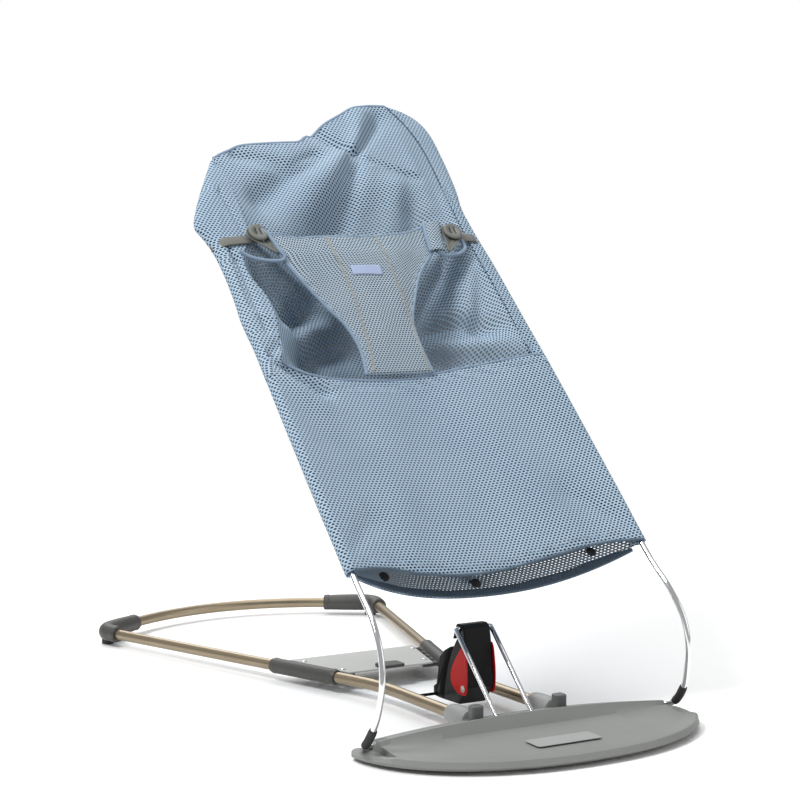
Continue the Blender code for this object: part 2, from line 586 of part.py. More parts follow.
def build_cover(looks, bounce, centre):
    cover = bpy.data.objects.new("cover_frame", None)
    bpy.context.scene.collection.objects.link(cover)
    cover.parent = bounce
    cover.location = Vector((0.0, HEM_Y, HEM_Z)) - centre
    cover.rotation_euler = (SEAT_ANGLE, 0.0, 0.0)

    rows = []
    for step in range(9):
        s = WAIST * step / 8
        wide = table(RAIL, s)
        front = []
        for k in range(-7, 8):
            u = k / 7
            front.append(Vector((wide * u, s, SLEEVE_R - FRONT_SAG * (1 - u * u))))
        left = sleeve_section((-wide, s), (1.0, 0.0), 0.0, 0.004)[3:]
        right = sleeve_section((wide, s), (-1.0, 0.0), 0.0, 0.004)[3:]
        rows.append(list(reversed(left)) + front + right)
    sheet("lower_panel", rows, CLOTH, looks["mesh"], cover)

    first, last = WAIST + CLOTH + GAP, HEAD_START - GAP
    heights = [first + (last - first) * k / 8 for k in range(9)]
    left_path = [(-table(RAIL, s), s) for s in heights]
    sheet("side_sleeve_left", sleeve_along(left_path, 0.030), CLOTH, looks["mesh"], cover)
    right_path = [(table(RAIL, s), s) for s in reversed(heights)]
    sheet("side_sleeve_right", sleeve_along(right_path, 0.030), CLOTH, looks["mesh"], cover)

    edge = smooth_path([(x, s, 0.0) for x, s in HEAD_EDGE], 2)
    edge[0].y += CLOTH
    edge[-1].y += CLOTH
    sheet("head_sleeve", sleeve_along([(p.x, p.y) for p in edge], 0.022), CLOTH, looks["mesh"], cover)

    top_edge = [(x, s) for x, s in HEAD_EDGE[3:11]]
    rows = []
    for step in range(17):
        v = step / 16
        row = []
        for k in range(13):
            u = 2 * k / 12 - 1
            top_x = -0.136 + (0.156 + 0.136) * k / 12
            top_s = table(top_edge, top_x) - 0.004
            low_s = -HEM_DROP * (1 - u * u)
            s = low_s + (top_s - low_s) * v
            wide = table(RAIL, min(s, 0.45)) - 0.001
            lean = max(0.0, (v - 0.75) / 0.25)
            x = wide * u * (1 - lean) + top_x * lean
            row.append(Vector((x, s, -(SLEEVE_R + CLOTH + 0.0010) - sag_depth(v) * (1 - u * u))))
        rows.append(row)
    sheet("back_panel", rows, CLOTH, looks["mesh"], cover)

    for x, name in ((-0.095, "left"), (0.0, "middle"), (0.105, "right")):
        u = x / 0.167
        n = -(SLEEVE_R + CLOTH + 0.0010) - (HEM_SAG + 0.002) * (1 - u * u) + CLOTH / 2
        head = circle(0.0, 0.0, 0.0055, 10)
        stud = prism(f"hem_stud_{name}", head, 0.0, 0.0022, "z", looks["rubber"], cover)
        stud.location = (x, 0.008 - HEM_DROP * (1 - u * u), n + 0.0024)
        stud.rotation_euler = (0.0, -math.atan(2 * HEM_SAG * u / 0.167), 0.0)

    for side, name in ((-1, "left"), (1, "right")):
        low, high = sorted((side * 0.1135, side * 0.1560))
        band = [(low, SLEEVE_R + CLOTH / 2 + GAP), (high, SLEEVE_R + CLOTH / 2 + GAP),
                (high, SLEEVE_R + CLOTH / 2 + 0.0015), (low, SLEEVE_R + CLOTH / 2 + 0.0015)]
        prism(f"strap_{name}", band, STRAP - 0.0055, STRAP + 0.0055, "y", looks["webbing"], cover)
    return cover


# ---------------------------------------------------------------- harness
HARNESS_HALF = [(0.0, 0.041), (0.035, 0.039), (0.060, 0.044), (0.090, 0.061), (0.130, 0.080), (0.150, 0.095),
                (0.172, 0.103), (0.188, 0.1130)]
HARNESS_LOW = -0.0085             # harness root, off the seat plane
HARNESS_TOP = 0.0125              # harness top edge, off the seat plane


def build_harness(looks, cover):
    root_s = WAIST + 0.0035
    hinge = bpy.data.objects.new("harness_axis", None)
    bpy.context.scene.collection.objects.link(hinge)
    hinge.parent = cover
    hinge.location = (0.0, root_s, HARNESS_LOW)
    length = HARNESS_HALF[-1][0]
    rise = HARNESS_TOP - HARNESS_LOW

    def lift(s):
        return rise * min(1.0, s / 0.150)

    rows = []
    for step in range(11):
        s = length * step / 10
        wide = table(HARNESS_HALF, s)
        rows.append([Vector((wide * k / 5, s, lift(s))) for k in range(-5, 6)])
    sheet("harness_panel", rows, 0.0022, looks["bib"], hinge)

    outline = box_outline(-0.021, -0.0062, 0.021, 0.0062, 0.001)
    tag = prism("harness_label", outline, 0.0011 + GAP, 0.0019, "z", looks["label"], hinge)
    tag.location = (-0.004, 0.118, lift(0.118))
    tag.rotation_euler = (math.atan2(rise, 0.150), 0.0, 0.0)

    for side, name in ((-1, "left"), (1, "right")):
        stud_at = Vector((side * STUD_X, STRAP - root_s, 0.0))
        towards = Vector((side * -0.459, -0.888, 0.0))
        aside = Vector((towards.y, -towards.x, 0.0))
        outline = [(stud_at + 0.0105 * (math.cos(t) * aside - math.sin(t) * towards))
                   for t in [math.pi * k / 8 for k in range(9)]]
        outline = [stud_at + towards * 0.030 + aside * 0.002] + outline
        outline = outline + [stud_at + towards * 0.030 - aside * 0.002]
        low = rise + 0.0011 + GAP
        plate = prism(f"keyhole_plate_{name}", [(p.x, p.y) for p in outline], low, low + 0.0020, "z",
                      looks["buckle"], hinge)
        slot = [stud_at + 0.0028 * (math.cos(t) * aside - math.sin(t) * towards)
                for t in [math.pi * k / 6 for k in range(7)]]
        end = stud_at + towards * (STUD_TRAVEL + 0.001)
        slot += [end + 0.0028 * (math.cos(t) * aside - math.sin(t) * towards)
                 for t in [math.pi + math.pi * k / 6 for k in range(7)]]
        cut = prism(f"keyhole_{name}", [(p.x, p.y) for p in slot], low - 0.01, low + 0.01, "z", None, hinge)
        combine(plate, cut, "DIFFERENCE")

        axis = bpy.data.objects.new(f"stud_axis_{name}", None)
        bpy.context.scene.collection.objects.link(axis)
        axis.parent = hinge
        axis.location = stud_at
        under = -HARNESS_LOW + SLEEVE_R + CLOTH / 2 + 0.0015 + GAP
        stations = [(under, 0.0022), (low + 0.0020 + GAP, 0.0022), (low + 0.0020 + GAP, 0.0086),
                    (low + 0.0040, 0.0092), (low + 0.0052, 0.0080)]
        sections = [[Vector((a, b, z)) for a, b in circle(0.0, 0.0, radius, 14)] for z, radius in stations]
        stud = loft(f"button_stud_{name}", sections, looks["buckle"], axis)
        groove = prism(f"stud_groove_{name}", box_outline(-0.0055, -0.0008, 0.0055, 0.0008), low + 0.0042,
                       low + 0.02, "z", None, axis)
        combine(stud, groove, "DIFFERENCE")


def main():
    clear_scene()
    looks = make_materials()
    build_footplate(looks)
    build_sockets(looks)
    build_base_tubes(looks)
    build_stay(looks)
    build_catch_housing(looks)
    build_catch(looks)
    bounce, centre = build_wires(looks)
    cover = build_cover(looks, bounce, centre)
    build_harness(looks, cover)
    bpy.context.view_layer.update()
    print("bodies:", [made.name for made in bpy.data.objects if made.type == "MESH" and not made.hide_render])


main()
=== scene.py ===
# %% [markdown]
# # A bouncer seat
# A baby's bouncer is a sprung wire frame that stands up from a half-moon foot plate, with a knitted
# mesh cover pulled over it like a pillow case. A base of bent tubes keeps it from tipping, and a black
# catch between the tubes holds the seat at its height. Each cell below makes one piece or one finish,
# and each text cell says what it is on the real seat and why it is made that way here.

# %% Load the fixed frame
import json
import math

import bmesh
import bpy
from mathutils import Matrix, Vector


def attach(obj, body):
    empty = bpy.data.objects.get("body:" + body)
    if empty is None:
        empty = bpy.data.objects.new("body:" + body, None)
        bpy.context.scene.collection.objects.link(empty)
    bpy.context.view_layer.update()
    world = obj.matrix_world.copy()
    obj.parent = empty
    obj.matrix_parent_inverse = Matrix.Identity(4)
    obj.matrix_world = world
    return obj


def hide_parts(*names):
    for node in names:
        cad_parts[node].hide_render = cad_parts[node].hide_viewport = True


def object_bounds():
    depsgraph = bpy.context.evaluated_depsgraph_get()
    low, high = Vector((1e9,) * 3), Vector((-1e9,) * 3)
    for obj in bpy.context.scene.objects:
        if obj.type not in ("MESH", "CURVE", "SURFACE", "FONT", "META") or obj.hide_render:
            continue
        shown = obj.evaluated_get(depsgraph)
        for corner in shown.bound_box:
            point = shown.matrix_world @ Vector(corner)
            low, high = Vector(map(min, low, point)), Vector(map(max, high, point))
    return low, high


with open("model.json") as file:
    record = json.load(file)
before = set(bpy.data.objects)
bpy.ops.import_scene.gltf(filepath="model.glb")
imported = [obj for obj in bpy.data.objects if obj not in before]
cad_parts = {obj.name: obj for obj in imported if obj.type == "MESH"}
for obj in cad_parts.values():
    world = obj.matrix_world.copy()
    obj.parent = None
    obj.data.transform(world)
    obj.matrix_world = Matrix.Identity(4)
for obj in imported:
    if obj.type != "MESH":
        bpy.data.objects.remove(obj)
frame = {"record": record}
CAD_BOX = [list(corner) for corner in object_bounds()]
print("frame box", CAD_BOX)

# %% [markdown]
# ## Places read from the frame
# The seat turns on one axis inside the foot plate, and the cover lies in a plane that leans back at 45
# degrees. Cloth is easiest to shape in that plane: x across, s up the seat from the front hem, and n
# straight off its front. One function turns those three numbers into a point of the scene.

# %% The turning axis and the seat plane
JOINTS = {joint["name"]: joint for joint in frame["record"]["behaviour"]["joints"]}
AXIS = Vector(JOINTS["recline"]["pos_m"])
CATCH = Vector(JOINTS["catch_press"]["pos_m"])
SEAT_UP = Vector(JOINTS["cover_slide"]["axis"]).normalized()
SEAT_OFF = Vector((0.0, -SEAT_UP.z, SEAT_UP.y))
HEM = Vector((0.0, -0.2455, 0.1680))


def seat(x, s, n=0.0):
    """A point of the seat: x across, s up from the hem, n off the front."""
    return HEM + Vector((x, 0.0, 0.0)) + SEAT_UP * s + SEAT_OFF * n


print("axis", tuple(round(v, 4) for v in AXIS))

# %% [markdown]
# ## Camera, floor and light
# A long lens from the front left flattens the seat as in a catalogue. Three big soft lights and a pale
# floor give clean highlights on the chrome without hard shadows.

# %% Camera
EYE = Vector((-1.10329, -1.93893, 0.50284))
TARGET = Vector((0.02089, -0.0100, 0.30379))
camera_data = bpy.data.cameras.new("camera")
camera_data.lens = 94.5
camera_data.sensor_width = 36.0
camera = bpy.data.objects.new("camera", camera_data)
camera.location = EYE
camera.rotation_euler = (TARGET - EYE).to_track_quat("-Z", "Y").to_euler()
bpy.context.scene.collection.objects.link(camera)
bpy.context.scene.camera = camera

# %% Floor, world and lights


def area_light(name, place, aim, size, power, colour=(1.0, 1.0, 1.0)):
    data = bpy.data.lights.new(name, "AREA")
    data.shape = "DISK"
    data.size = size
    data.energy = power
    data.color = colour
    light = bpy.data.objects.new(name, data)
    light.location = place
    light.rotation_euler = (Vector(aim) - Vector(place)).to_track_quat("-Z", "Y").to_euler()
    bpy.context.scene.collection.objects.link(light)
    return light


area_light("key_light", (-1.9, -0.2, 2.4), (0.0, 0.0, 0.25), 0.9, 56.0)
area_light("fill_light", (1.9, -1.9, 1.2), (0.0, 0.0, 0.25), 2.2, 13.0)
area_light("rear_light", (0.5, 2.2, 2.0), (0.0, 0.0, 0.25), 2.0, 30.0)
area_light("top_light", (0.0, 0.2, 3.2), (0.0, 0.0, 0.0), 3.0, 48.0)

AMBIENT, BACKDROP = 0.42, 1.0
world = bpy.data.worlds.new("studio")
world.use_nodes = True
tree = world.node_tree
ambient = tree.nodes["Background"]
ambient.inputs["Color"].default_value = (1.0, 1.0, 1.0, 1.0)
ambient.inputs["Strength"].default_value = AMBIENT
backdrop = tree.nodes.new("ShaderNodeBackground")
backdrop.inputs["Color"].default_value = (1.0, 1.0, 1.0, 1.0)
backdrop.inputs["Strength"].default_value = BACKDROP
chosen = tree.nodes.new("ShaderNodeMixShader")
tree.links.new(tree.nodes.new("ShaderNodeLightPath").outputs["Is Camera Ray"], chosen.inputs[0])
tree.links.new(ambient.outputs["Background"], chosen.inputs[1])
tree.links.new(backdrop.outputs["Background"], chosen.inputs[2])
tree.links.new(chosen.outputs["Shader"], tree.nodes["World Output"].inputs["Surface"])
bpy.context.scene.world = world
bpy.context.scene.view_settings.view_transform = "Standard"

FLOOR_HALF = 1.0
floor_mesh = bpy.data.meshes.new("floor")
floor_mesh.from_pydata([(FLOOR_HALF * a, FLOOR_HALF * b, 0) for a, b in ((-1, -1), (1, -1), (1, 1), (-1, 1))],
                       [], [(0, 1, 2, 3)])
floor = bpy.data.objects.new("floor", floor_mesh)
floor.location.z = CAD_BOX[0][2] - 0.0002
bpy.context.scene.collection.objects.link(floor)

# %% [markdown]
# ## Shader sums as plain Python
# A wrapped socket lets a pattern be written as a sum: adding, multiplying or comparing two of them puts
# the Math node in the tree. Everything else comes from one method that takes the node's type, its
# settings and its inputs.

# %% The small shader language


class Value:
    """One number socket of a material, with Python's own operators."""

    def __init__(self, finish, socket):
        self.finish = finish
        self.socket = socket

    def sum(self, operation, *others):
        return self.finish.node("ShaderNodeMath", {"operation": operation}, self, *others)

    def __add__(self, other):
        return self.sum("ADD", other)

    def __sub__(self, other):
        return self.sum("SUBTRACT", other)

    def __rsub__(self, other):
        return self.finish.node("ShaderNodeMath", {"operation": "SUBTRACT"}, other, self)

    def __mul__(self, other):
        return self.sum("MULTIPLY", other)

    def __truediv__(self, other):
        return self.sum("DIVIDE", other)

    __radd__ = __add__
    __rmul__ = __mul__

    def above(self, edge):
        return self.sum("GREATER_THAN", edge)

    def floor(self):
        return self.sum("FLOOR")

    def part(self):
        """What is left after the whole number."""
        return self.sum("FRACT")

    def wave(self):
        return self.sum("SINE")

    def size(self):
        return self.sum("ABSOLUTE")

    def limit(self, low=0.0, high=1.0):
        return self.sum("MAXIMUM", low).sum("MINIMUM", high)


class Finish:
    """A material being written: its tree, its shader and a way to add nodes."""

    def __init__(self, name, colour, roughness, metallic=0.0, **same_all_over):
        self.material = bpy.data.materials.new(name)
        self.material.use_nodes = True
        self.tree = self.material.node_tree
        self.shader = self.tree.nodes["Principled BSDF"]
        self.set("Base Color", (*colour, 1.0))
        self.set("Roughness", roughness)
        self.set("Metallic", metallic)
        for socket, value in same_all_over.items():
            self.set(socket.replace("_", " "), value)

    def set(self, socket, value):
        self.join(value, self.shader.inputs[socket])
        return self

    def join(self, value, socket):
        if isinstance(value, Value):
            self.tree.links.new(value.socket, socket)
        else:
            socket.default_value = value

    def node(self, kind, settings, *ordered, out=0, **named):
        made = self.tree.nodes.new(kind)
        for name, value in settings.items():
            setattr(made, name, value)
        for socket, value in zip(made.inputs, ordered):
            self.join(value, socket)
        for name, value in named.items():
            self.join(value, made.inputs[name.replace("_", " ")])
        return Value(self, made.outputs[out])

    def place(self):
        return self.node("ShaderNodeTexCoord", {}, out=3)

    def uv(self):
        pair = self.node("ShaderNodeUVMap", {})
        split = self.node("ShaderNodeSeparateXYZ", {}, pair)
        return split, Value(self, split.socket.node.outputs[1])

    def noise(self, scale, detail=3.0, at=None, rough=0.5):
        return self.node("ShaderNodeTexNoise", {}, Vector=at or self.place(), Scale=scale, Detail=detail,
                         Roughness=rough)

    def blend(self, amount, first, second):
        mix = self.tree.nodes.new("ShaderNodeMix")
        mix.data_type = "RGBA"
        self.join(amount, mix.inputs[0])
        self.join(first if isinstance(first, Value) else (*first, 1.0), mix.inputs[6])
        self.join(second if isinstance(second, Value) else (*second, 1.0), mix.inputs[7])
        return Value(self, mix.outputs[2])

    def bump(self, height, distance, strength=1.0):
        relief = self.node("ShaderNodeBump", {}, Height=height, Distance=distance, Strength=strength)
        return self.set("Normal", relief)


# %% [markdown]
# ## Hard finishes
# Bright chrome shows small ripples from drawing, the base tubes are anodised to a champagne bronze with
# fine lines along them, and the moulded pieces share one spark-eroded grain in several colours.

# %% Metals


def chrome_finish():
    finish = Finish("chrome_wire", (0.80, 0.81, 0.83), 0.10, 1.0)
    ripple = finish.noise(90.0, 2.0)
    finish.set("Roughness", 0.07 + ripple * 0.10)
    return finish.bump(finish.noise(240.0, 2.0), 0.00004, 0.25).material


def bronze_finish():
    finish = Finish("bronze_tube", (0.44, 0.36, 0.25), 0.34, 0.85)
    cloud = finish.noise(22.0, 3.0)
    grain = finish.noise(900.0, 2.0)
    finish.set("Base Color", finish.blend(cloud, (0.25, 0.198, 0.132), (0.38, 0.315, 0.225)))
    finish.set("Roughness", 0.26 + grain * 0.16)
    return finish.bump(grain, 0.00003, 0.3).material


def steel_finish():
    finish = Finish("bright_steel", (0.62, 0.62, 0.62), 0.28, 1.0)
    finish.set("Roughness", 0.22 + finish.noise(400.0) * 0.2)
    return finish.material


# %% Moulded plastics


def moulded(name, dark, light, roughness, grain_size=1300.0, depth=0.00006):
    """A moulded colour with slow variation, a spark grain and slightly uneven gloss."""
    finish = Finish(name, light, roughness)
    cloud = finish.noise(16.0, 4.0)
    grain = finish.noise(grain_size, 2.0)
    finish.set("Base Color", finish.blend(cloud, dark, light))
    finish.set("Roughness", roughness - 0.08 + grain * 0.16)
    return finish.bump(grain, depth, 0.5).material


CHROME = chrome_finish()
BRONZE = bronze_finish()
STEEL = steel_finish()
PLATE_GREY = moulded("plate_grey", (0.185, 0.192, 0.182), (0.225, 0.232, 0.220), 0.52)
SOCKET_GREY = moulded("socket_grey", (0.27, 0.275, 0.272), (0.33, 0.335, 0.33), 0.5)
DARK_GREY = moulded("sleeve_grey", (0.036, 0.035, 0.032), (0.062, 0.060, 0.055), 0.48)
BLACK = moulded("catch_black", (0.004, 0.004, 0.005), (0.009, 0.009, 0.010), 0.45)
RED = moulded("catch_red", (0.42, 0.004, 0.004), (0.58, 0.009, 0.007), 0.40)
RUBBER = moulded("black_rubber", (0.018, 0.018, 0.018), (0.035, 0.035, 0.035), 0.75)
BUCKLE = moulded("buckle_grey", (0.105, 0.110, 0.098), (0.160, 0.165, 0.150), 0.42)
STAY = moulded("stay_grey", (0.40, 0.405, 0.385), (0.48, 0.48, 0.46), 0.42)
BUMPER = moulded("bumper_grey", (0.085, 0.092, 0.092), (0.125, 0.133, 0.132), 0.45)
for material in (BLACK, RED):
    shader = next(node for node in material.node_tree.nodes if node.type == "BSDF_PRINCIPLED")
    shader.inputs["Specular IOR Level"].default_value = 0.18
FLOOR = Finish("floor", (0.95, 0.95, 0.95), 0.6)
floor_mesh.materials.append(FLOOR.material)

# %% [markdown]
# ## Curves
# Tubes and wires follow a smooth curve through a few chosen points. The same curve serves every bent
# piece here, so the mesh and the frame agree.

# %% A smooth curve through points


def smooth(points, per_span):
    knots = [Vector(p) for p in points]
    knots = [2 * knots[0] - knots[1], *knots, 2 * knots[-1] - knots[-2]]
    path = []
    for a, b, c, d in zip(knots, knots[1:], knots[2:], knots[3:]):
        for step in range(per_span):
            t = step / per_span
            path.append(0.5 * (2 * b + (c - a) * t + (2 * a - 5 * b + 4 * c - d) * t**2
                               + (3 * b - a - 3 * c + d) * t**3))
    path.append(knots[-2])
    return path


def read(points, value):
    """Reads a value from a short table, running smoothly from point to point."""
    low, high = points[0], points[-1]
    if value <= low[0]:
        return low[1]
    if value >= high[0]:
        return high[1]
    for index in range(len(points) - 1):
        if value <= points[index + 1][0]:
            break
    (x0, y0), (x1, y1) = points[index], points[index + 1]
    before = points[max(0, index - 1)]
    after = points[min(len(points) - 1, index + 2)]
    slope0 = (y1 - before[1]) / (x1 - before[0])
    slope1 = (after[1] - y0) / (after[0] - x0)
    width = x1 - x0
    t = (value - x0) / width
    return ((2 * t**3 - 3 * t**2 + 1) * y0 + (t**3 - 2 * t**2 + t) * width * slope0
            + (3 * t**2 - 2 * t**3) * y1 + (t**3 - t**2) * width * slope1)


def mirrored(points):
    right = [Vector((-p[0], p[1], p[2])) for p in reversed(points)]
    if (right[0] - Vector(points[-1])).length < 0.0002:
        right = right[1:]
    return [Vector(p) for p in points] + right


# %% [markdown]
# ## Meshes from rings and grids
# Two makers cover most pieces: one joins equal rings into a closed solid, the other turns a grid of
# points into cloth with a UV map in metres, so that the weave keeps its size wherever the cloth goes.

# %% Ring, grid and outline helpers


def add_object(name, bm, material, smooth_angle=35.0):
    bmesh.ops.recalc_face_normals(bm, faces=bm.faces)
    mesh = bpy.data.meshes.new(name)
    bm.to_mesh(mesh)
    bm.free()
    mesh.shade_smooth()
    mesh.set_sharp_from_angle(angle=math.radians(smooth_angle))
    made = bpy.data.objects.new(name, mesh)
    bpy.context.scene.collection.objects.link(made)
    if material is not None:
        mesh.materials.append(material)
    return made


def loft(name, sections, material, closed=False, smooth_angle=35.0):
    bm = bmesh.new()
    loops = [[bm.verts.new(p) for p in section] for section in sections]
    pairs = list(zip(loops, loops[1:]))
    if closed:
        pairs.append((loops[-1], loops[0]))
    for first, second in pairs:
        for k in range(len(first)):
            after = (k + 1) % len(first)
            bm.faces.new((first[k], first[after], second[after], second[k]))
    if not closed:
        bm.faces.new(loops[0])
        bm.faces.new(list(reversed(loops[-1])))
    return add_object(name, bm, material, smooth_angle)


def rings(path, radius, sides):
    """Circles along a path, carried along without twist. The radius may change along it."""
    across = None
    loops = []
    for index, point in enumerate(path):
        along = (path[min(len(path) - 1, index + 1)] - path[max(0, index - 1)]).normalized()
        across = along.orthogonal() if across is None else across
        across = (across - along * across.dot(along)).normalized()
        other = along.cross(across)
        reach = radius(index / (len(path) - 1)) if callable(radius) else radius
        turns = [2 * math.pi * k / sides for k in range(sides)]
        loops.append([point + reach * (math.cos(t) * across + math.sin(t) * other) for t in turns])
    return loops


def prism(name, outline, low, high, axis, material, edge=0.0, segments=3):
    def place(a, b, depth):
        return {"x": Vector((depth, a, b)), "y": Vector((a, depth, b)), "z": Vector((a, b, depth))}[axis]
    made = loft(name, [[place(a, b, depth) for a, b in outline] for depth in (low, high)], material)
    if edge:
        rounded(made, edge, segments)
    return made


def rounded(made, width, segments=3, angle=30.0):
    step = made.modifiers.new("rounded edge", "BEVEL")
    step.width = width
    step.segments = segments
    step.limit_method = "ANGLE"
    step.angle_limit = math.radians(angle)
    step.harden_normals = True
    return made


def box_outline(low_a, low_b, high_a, high_b, corner, steps=6):
    centres = [(high_a - corner, high_b - corner, 0), (low_a + corner, high_b - corner, 90),
               (low_a + corner, low_b + corner, 180), (high_a - corner, low_b + corner, 270)]
    outline = []
    for a, b, start in centres:
        for step in range(steps + 1):
            turn = math.radians(start + 90 * step / steps)
            outline.append((a + corner * math.cos(turn), b + corner * math.sin(turn)))
    return outline


def circle(a, b, radius, sides=32):
    return [(a + radius * math.cos(2 * math.pi * k / sides), b + radius * math.sin(2 * math.pi * k / sides))
            for k in range(sides)]


def cut(target, other):
    """Cuts one mesh from another for good."""
    step = target.modifiers.new("cut", "BOOLEAN")
    step.object = other
    step.operation = "DIFFERENCE"
    step.solver = "EXACT"
    settle(target)
    bpy.data.objects.remove(other, do_unlink=True)
    return target


def settle(made):
    """Applies every modifier and keeps the result as the object's own mesh."""
    graph = bpy.context.evaluated_depsgraph_get()
    result = bpy.data.meshes.new_from_object(made.evaluated_get(graph))
    made.modifiers.clear()
    old = made.data
    if made.type == "MESH":
        made.data = result
        bpy.data.meshes.remove(old)
        return made
    raise TypeError(made.name)


def keep(made, body, slot, *nodes):
    """Rides a piece on its body and hides the frame nodes it stands for. The slot is not used."""
    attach(made, body)
    if nodes:
        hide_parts(*nodes)
    return made


# %% [markdown]
# ## Tubes and wires by Geometry Nodes
# A bent bar is one rule: a round profile carried along a curve. A small node tree with the radius and
# the number of sides as inputs makes every tube and wire, and the result is kept as plain mesh.

# %% The bar tree


def socket_key(tree, name):
    return next(item.identifier for item in tree.interface.items_tree
                if item.item_type == "SOCKET" and item.in_out == "INPUT" and item.name == name)


def bar_tree():
    tree = bpy.data.node_groups.new("bar_along_curve", "GeometryNodeTree")
    tree.interface.new_socket("Geometry", in_out="INPUT", socket_type="NodeSocketGeometry")
    tree.interface.new_socket("Radius", in_out="INPUT", socket_type="NodeSocketFloat")
    tree.interface.new_socket("Sides", in_out="INPUT", socket_type="NodeSocketInt")
    tree.interface.new_socket("Finish", in_out="INPUT", socket_type="NodeSocketMaterial")
    tree.interface.new_socket("Geometry", in_out="OUTPUT", socket_type="NodeSocketGeometry")
    start = tree.nodes.new("NodeGroupInput")
    end = tree.nodes.new("NodeGroupOutput")
    profile = tree.nodes.new("GeometryNodeCurvePrimitiveCircle")
    sweep = tree.nodes.new("GeometryNodeCurveToMesh")
    sweep.inputs["Fill Caps"].default_value = True
    paint = tree.nodes.new("GeometryNodeSetMaterial")
    real = tree.nodes.new("GeometryNodeRealizeInstances")
    link = tree.links.new
    link(start.outputs["Sides"], profile.inputs["Resolution"])
    link(start.outputs["Radius"], profile.inputs["Radius"])
    link(start.outputs["Geometry"], sweep.inputs["Curve"])
    link(profile.outputs["Curve"], sweep.inputs["Profile Curve"])
    link(sweep.outputs["Mesh"], real.inputs["Geometry"])
    link(real.outputs["Geometry"], paint.inputs["Geometry"])
    link(start.outputs["Finish"], paint.inputs["Material"])
    link(paint.outputs["Geometry"], end.inputs["Geometry"])
    return tree


BAR_TREE = bar_tree()


def polyline(name, path):
    """A curve object with one straight-stepped spline."""
    data = bpy.data.curves.new(name, "CURVE")
    data.dimensions = "3D"
    spline = data.splines.new("POLY")
    spline.points.add(len(path) - 1)
    for point, place in zip(spline.points, path):
        point.co = (*place, 1.0)
    guide = bpy.data.objects.new(name, data)
    bpy.context.scene.collection.objects.link(guide)
    return guide


def run_tree(name, guide, tree, **inputs):
    """Runs a node tree on a guide and keeps what it makes as one plain mesh object."""
    step = guide.modifiers.new("tree", "NODES")
    step.node_group = tree
    for key, value in inputs.items():
        step[socket_key(tree, key.replace("_", " "))] = value
    graph = bpy.context.evaluated_depsgraph_get()
    mesh = bpy.data.meshes.new_from_object(guide.evaluated_get(graph))
    mesh.name = name
    bpy.data.objects.remove(guide, do_unlink=True)
    made = bpy.data.objects.new(name, mesh)
    bpy.context.scene.collection.objects.link(made)
    return made


def bar(name, path, radius, material, sides=24):
    made = run_tree(name, polyline(f"{name}_line", path), BAR_TREE,
                    Radius=radius, Sides=sides, Finish=material)
    made.data.shade_smooth()
    made.data.set_sharp_from_angle(angle=math.radians(50))
    return made


# %% [markdown]
# ## The base
# Two side tubes leave the foot plate side by side, bend apart and run to the rear elbows, where a bowed
# cross tube joins them. Their shape is worked out from a few distances, as a tube bender would set it.

# %% Where the base tubes run
TUBE_RADIUS = 0.006
TUBE_X_FRONT, TUBE_X_REAR = 0.048, 0.174
TUBE_SOCKET_Y, TUBE_BEND_Y, TUBE_REAR_Y = -0.2265, -0.090, 0.305
TUBE_Z_FRONT, TUBE_Z_REAR = 0.0180, 0.0145
CROSS_X, CROSS_Y, CROSS_SAG = 0.128, 0.364, 0.0365
ELBOW_RADIUS = 0.0092
SIDES = ((-1, "left"), (1, "right"))


def side_tube(side, y):
    slope = (TUBE_X_REAR - TUBE_X_FRONT) / (TUBE_REAR_Y - TUBE_BEND_Y)
    ease = 0.035
    past = y - TUBE_BEND_Y
    if past <= -ease:
        offset = 0.0
    elif past >= ease:
        offset = slope * past
    else:
        offset = slope * (past + ease) ** 2 / (4 * ease)
    along = max(0.0, (y - TUBE_SOCKET_Y) / (TUBE_REAR_Y - TUBE_SOCKET_Y))
    return Vector((side * (TUBE_X_FRONT + offset), y, TUBE_Z_FRONT + (TUBE_Z_REAR - TUBE_Z_FRONT) * along))


def cross_tube(x):
    return Vector((x, CROSS_Y + CROSS_SAG * (1 - (x / CROSS_X) ** 2), TUBE_Z_REAR))


def elbow_line(side):
    start = side_tube(side, TUBE_REAR_Y)
    start.z = TUBE_Z_REAR
    inwards = (cross_tube(side * (CROSS_X + 0.02)) - cross_tube(side * CROSS_X)).normalized()
    forwards = side_tube(side, TUBE_REAR_Y) - side_tube(side, TUBE_REAR_Y - 0.02)
    forwards = Vector((forwards.x, forwards.y, 0.0)).normalized()
    end = cross_tube(side * CROSS_X)
    path = [start, start + forwards * 0.006]
    corner_in, corner_out = start + forwards * 0.013, end + inwards * 0.046
    control = start + forwards * 0.0275
    for step in range(17):
        t = step / 16
        path.append((1 - t) ** 2 * corner_in + 2 * t * (1 - t) * control + t**2 * corner_out)
    path.extend([end + inwards * 0.03, end + inwards * 0.012, end])
    return path


# %% Side tubes and cross tube
for side, name in SIDES:
    line = [side_tube(side, -0.2555 + (TUBE_REAR_Y + 0.2655) * k / 70) for k in range(71)]
    keep(bar(f"side_tube_{name}", line, TUBE_RADIUS, BRONZE, 32), "base", "bronze_tube", f"base_tube_{name}")
line = [cross_tube(-0.137 + 0.274 * k / 48) for k in range(49)]
keep(bar("cross_tube", line, TUBE_RADIUS, BRONZE, 32), "base", "bronze_tube", "rear_cross_tube")

# %% [markdown]
# The elbows are thick plastic mouldings with a rolled lip where each tube goes in and a flat sole with
# a rubber pad, because the whole rear of the seat stands on them.

# %% Rear elbows


def lipped(radius, lip, share, swell=0.0):
    """A radius with a slightly thicker rim at both ends of the piece."""
    def reach(t):
        near = min(t, 1 - t)
        if near < 0.012:
            return radius - 0.0009 * (1 - near / 0.012)
        return radius + swell * math.sin(math.pi * t) + (lip if near < share else 0.0)
    return reach


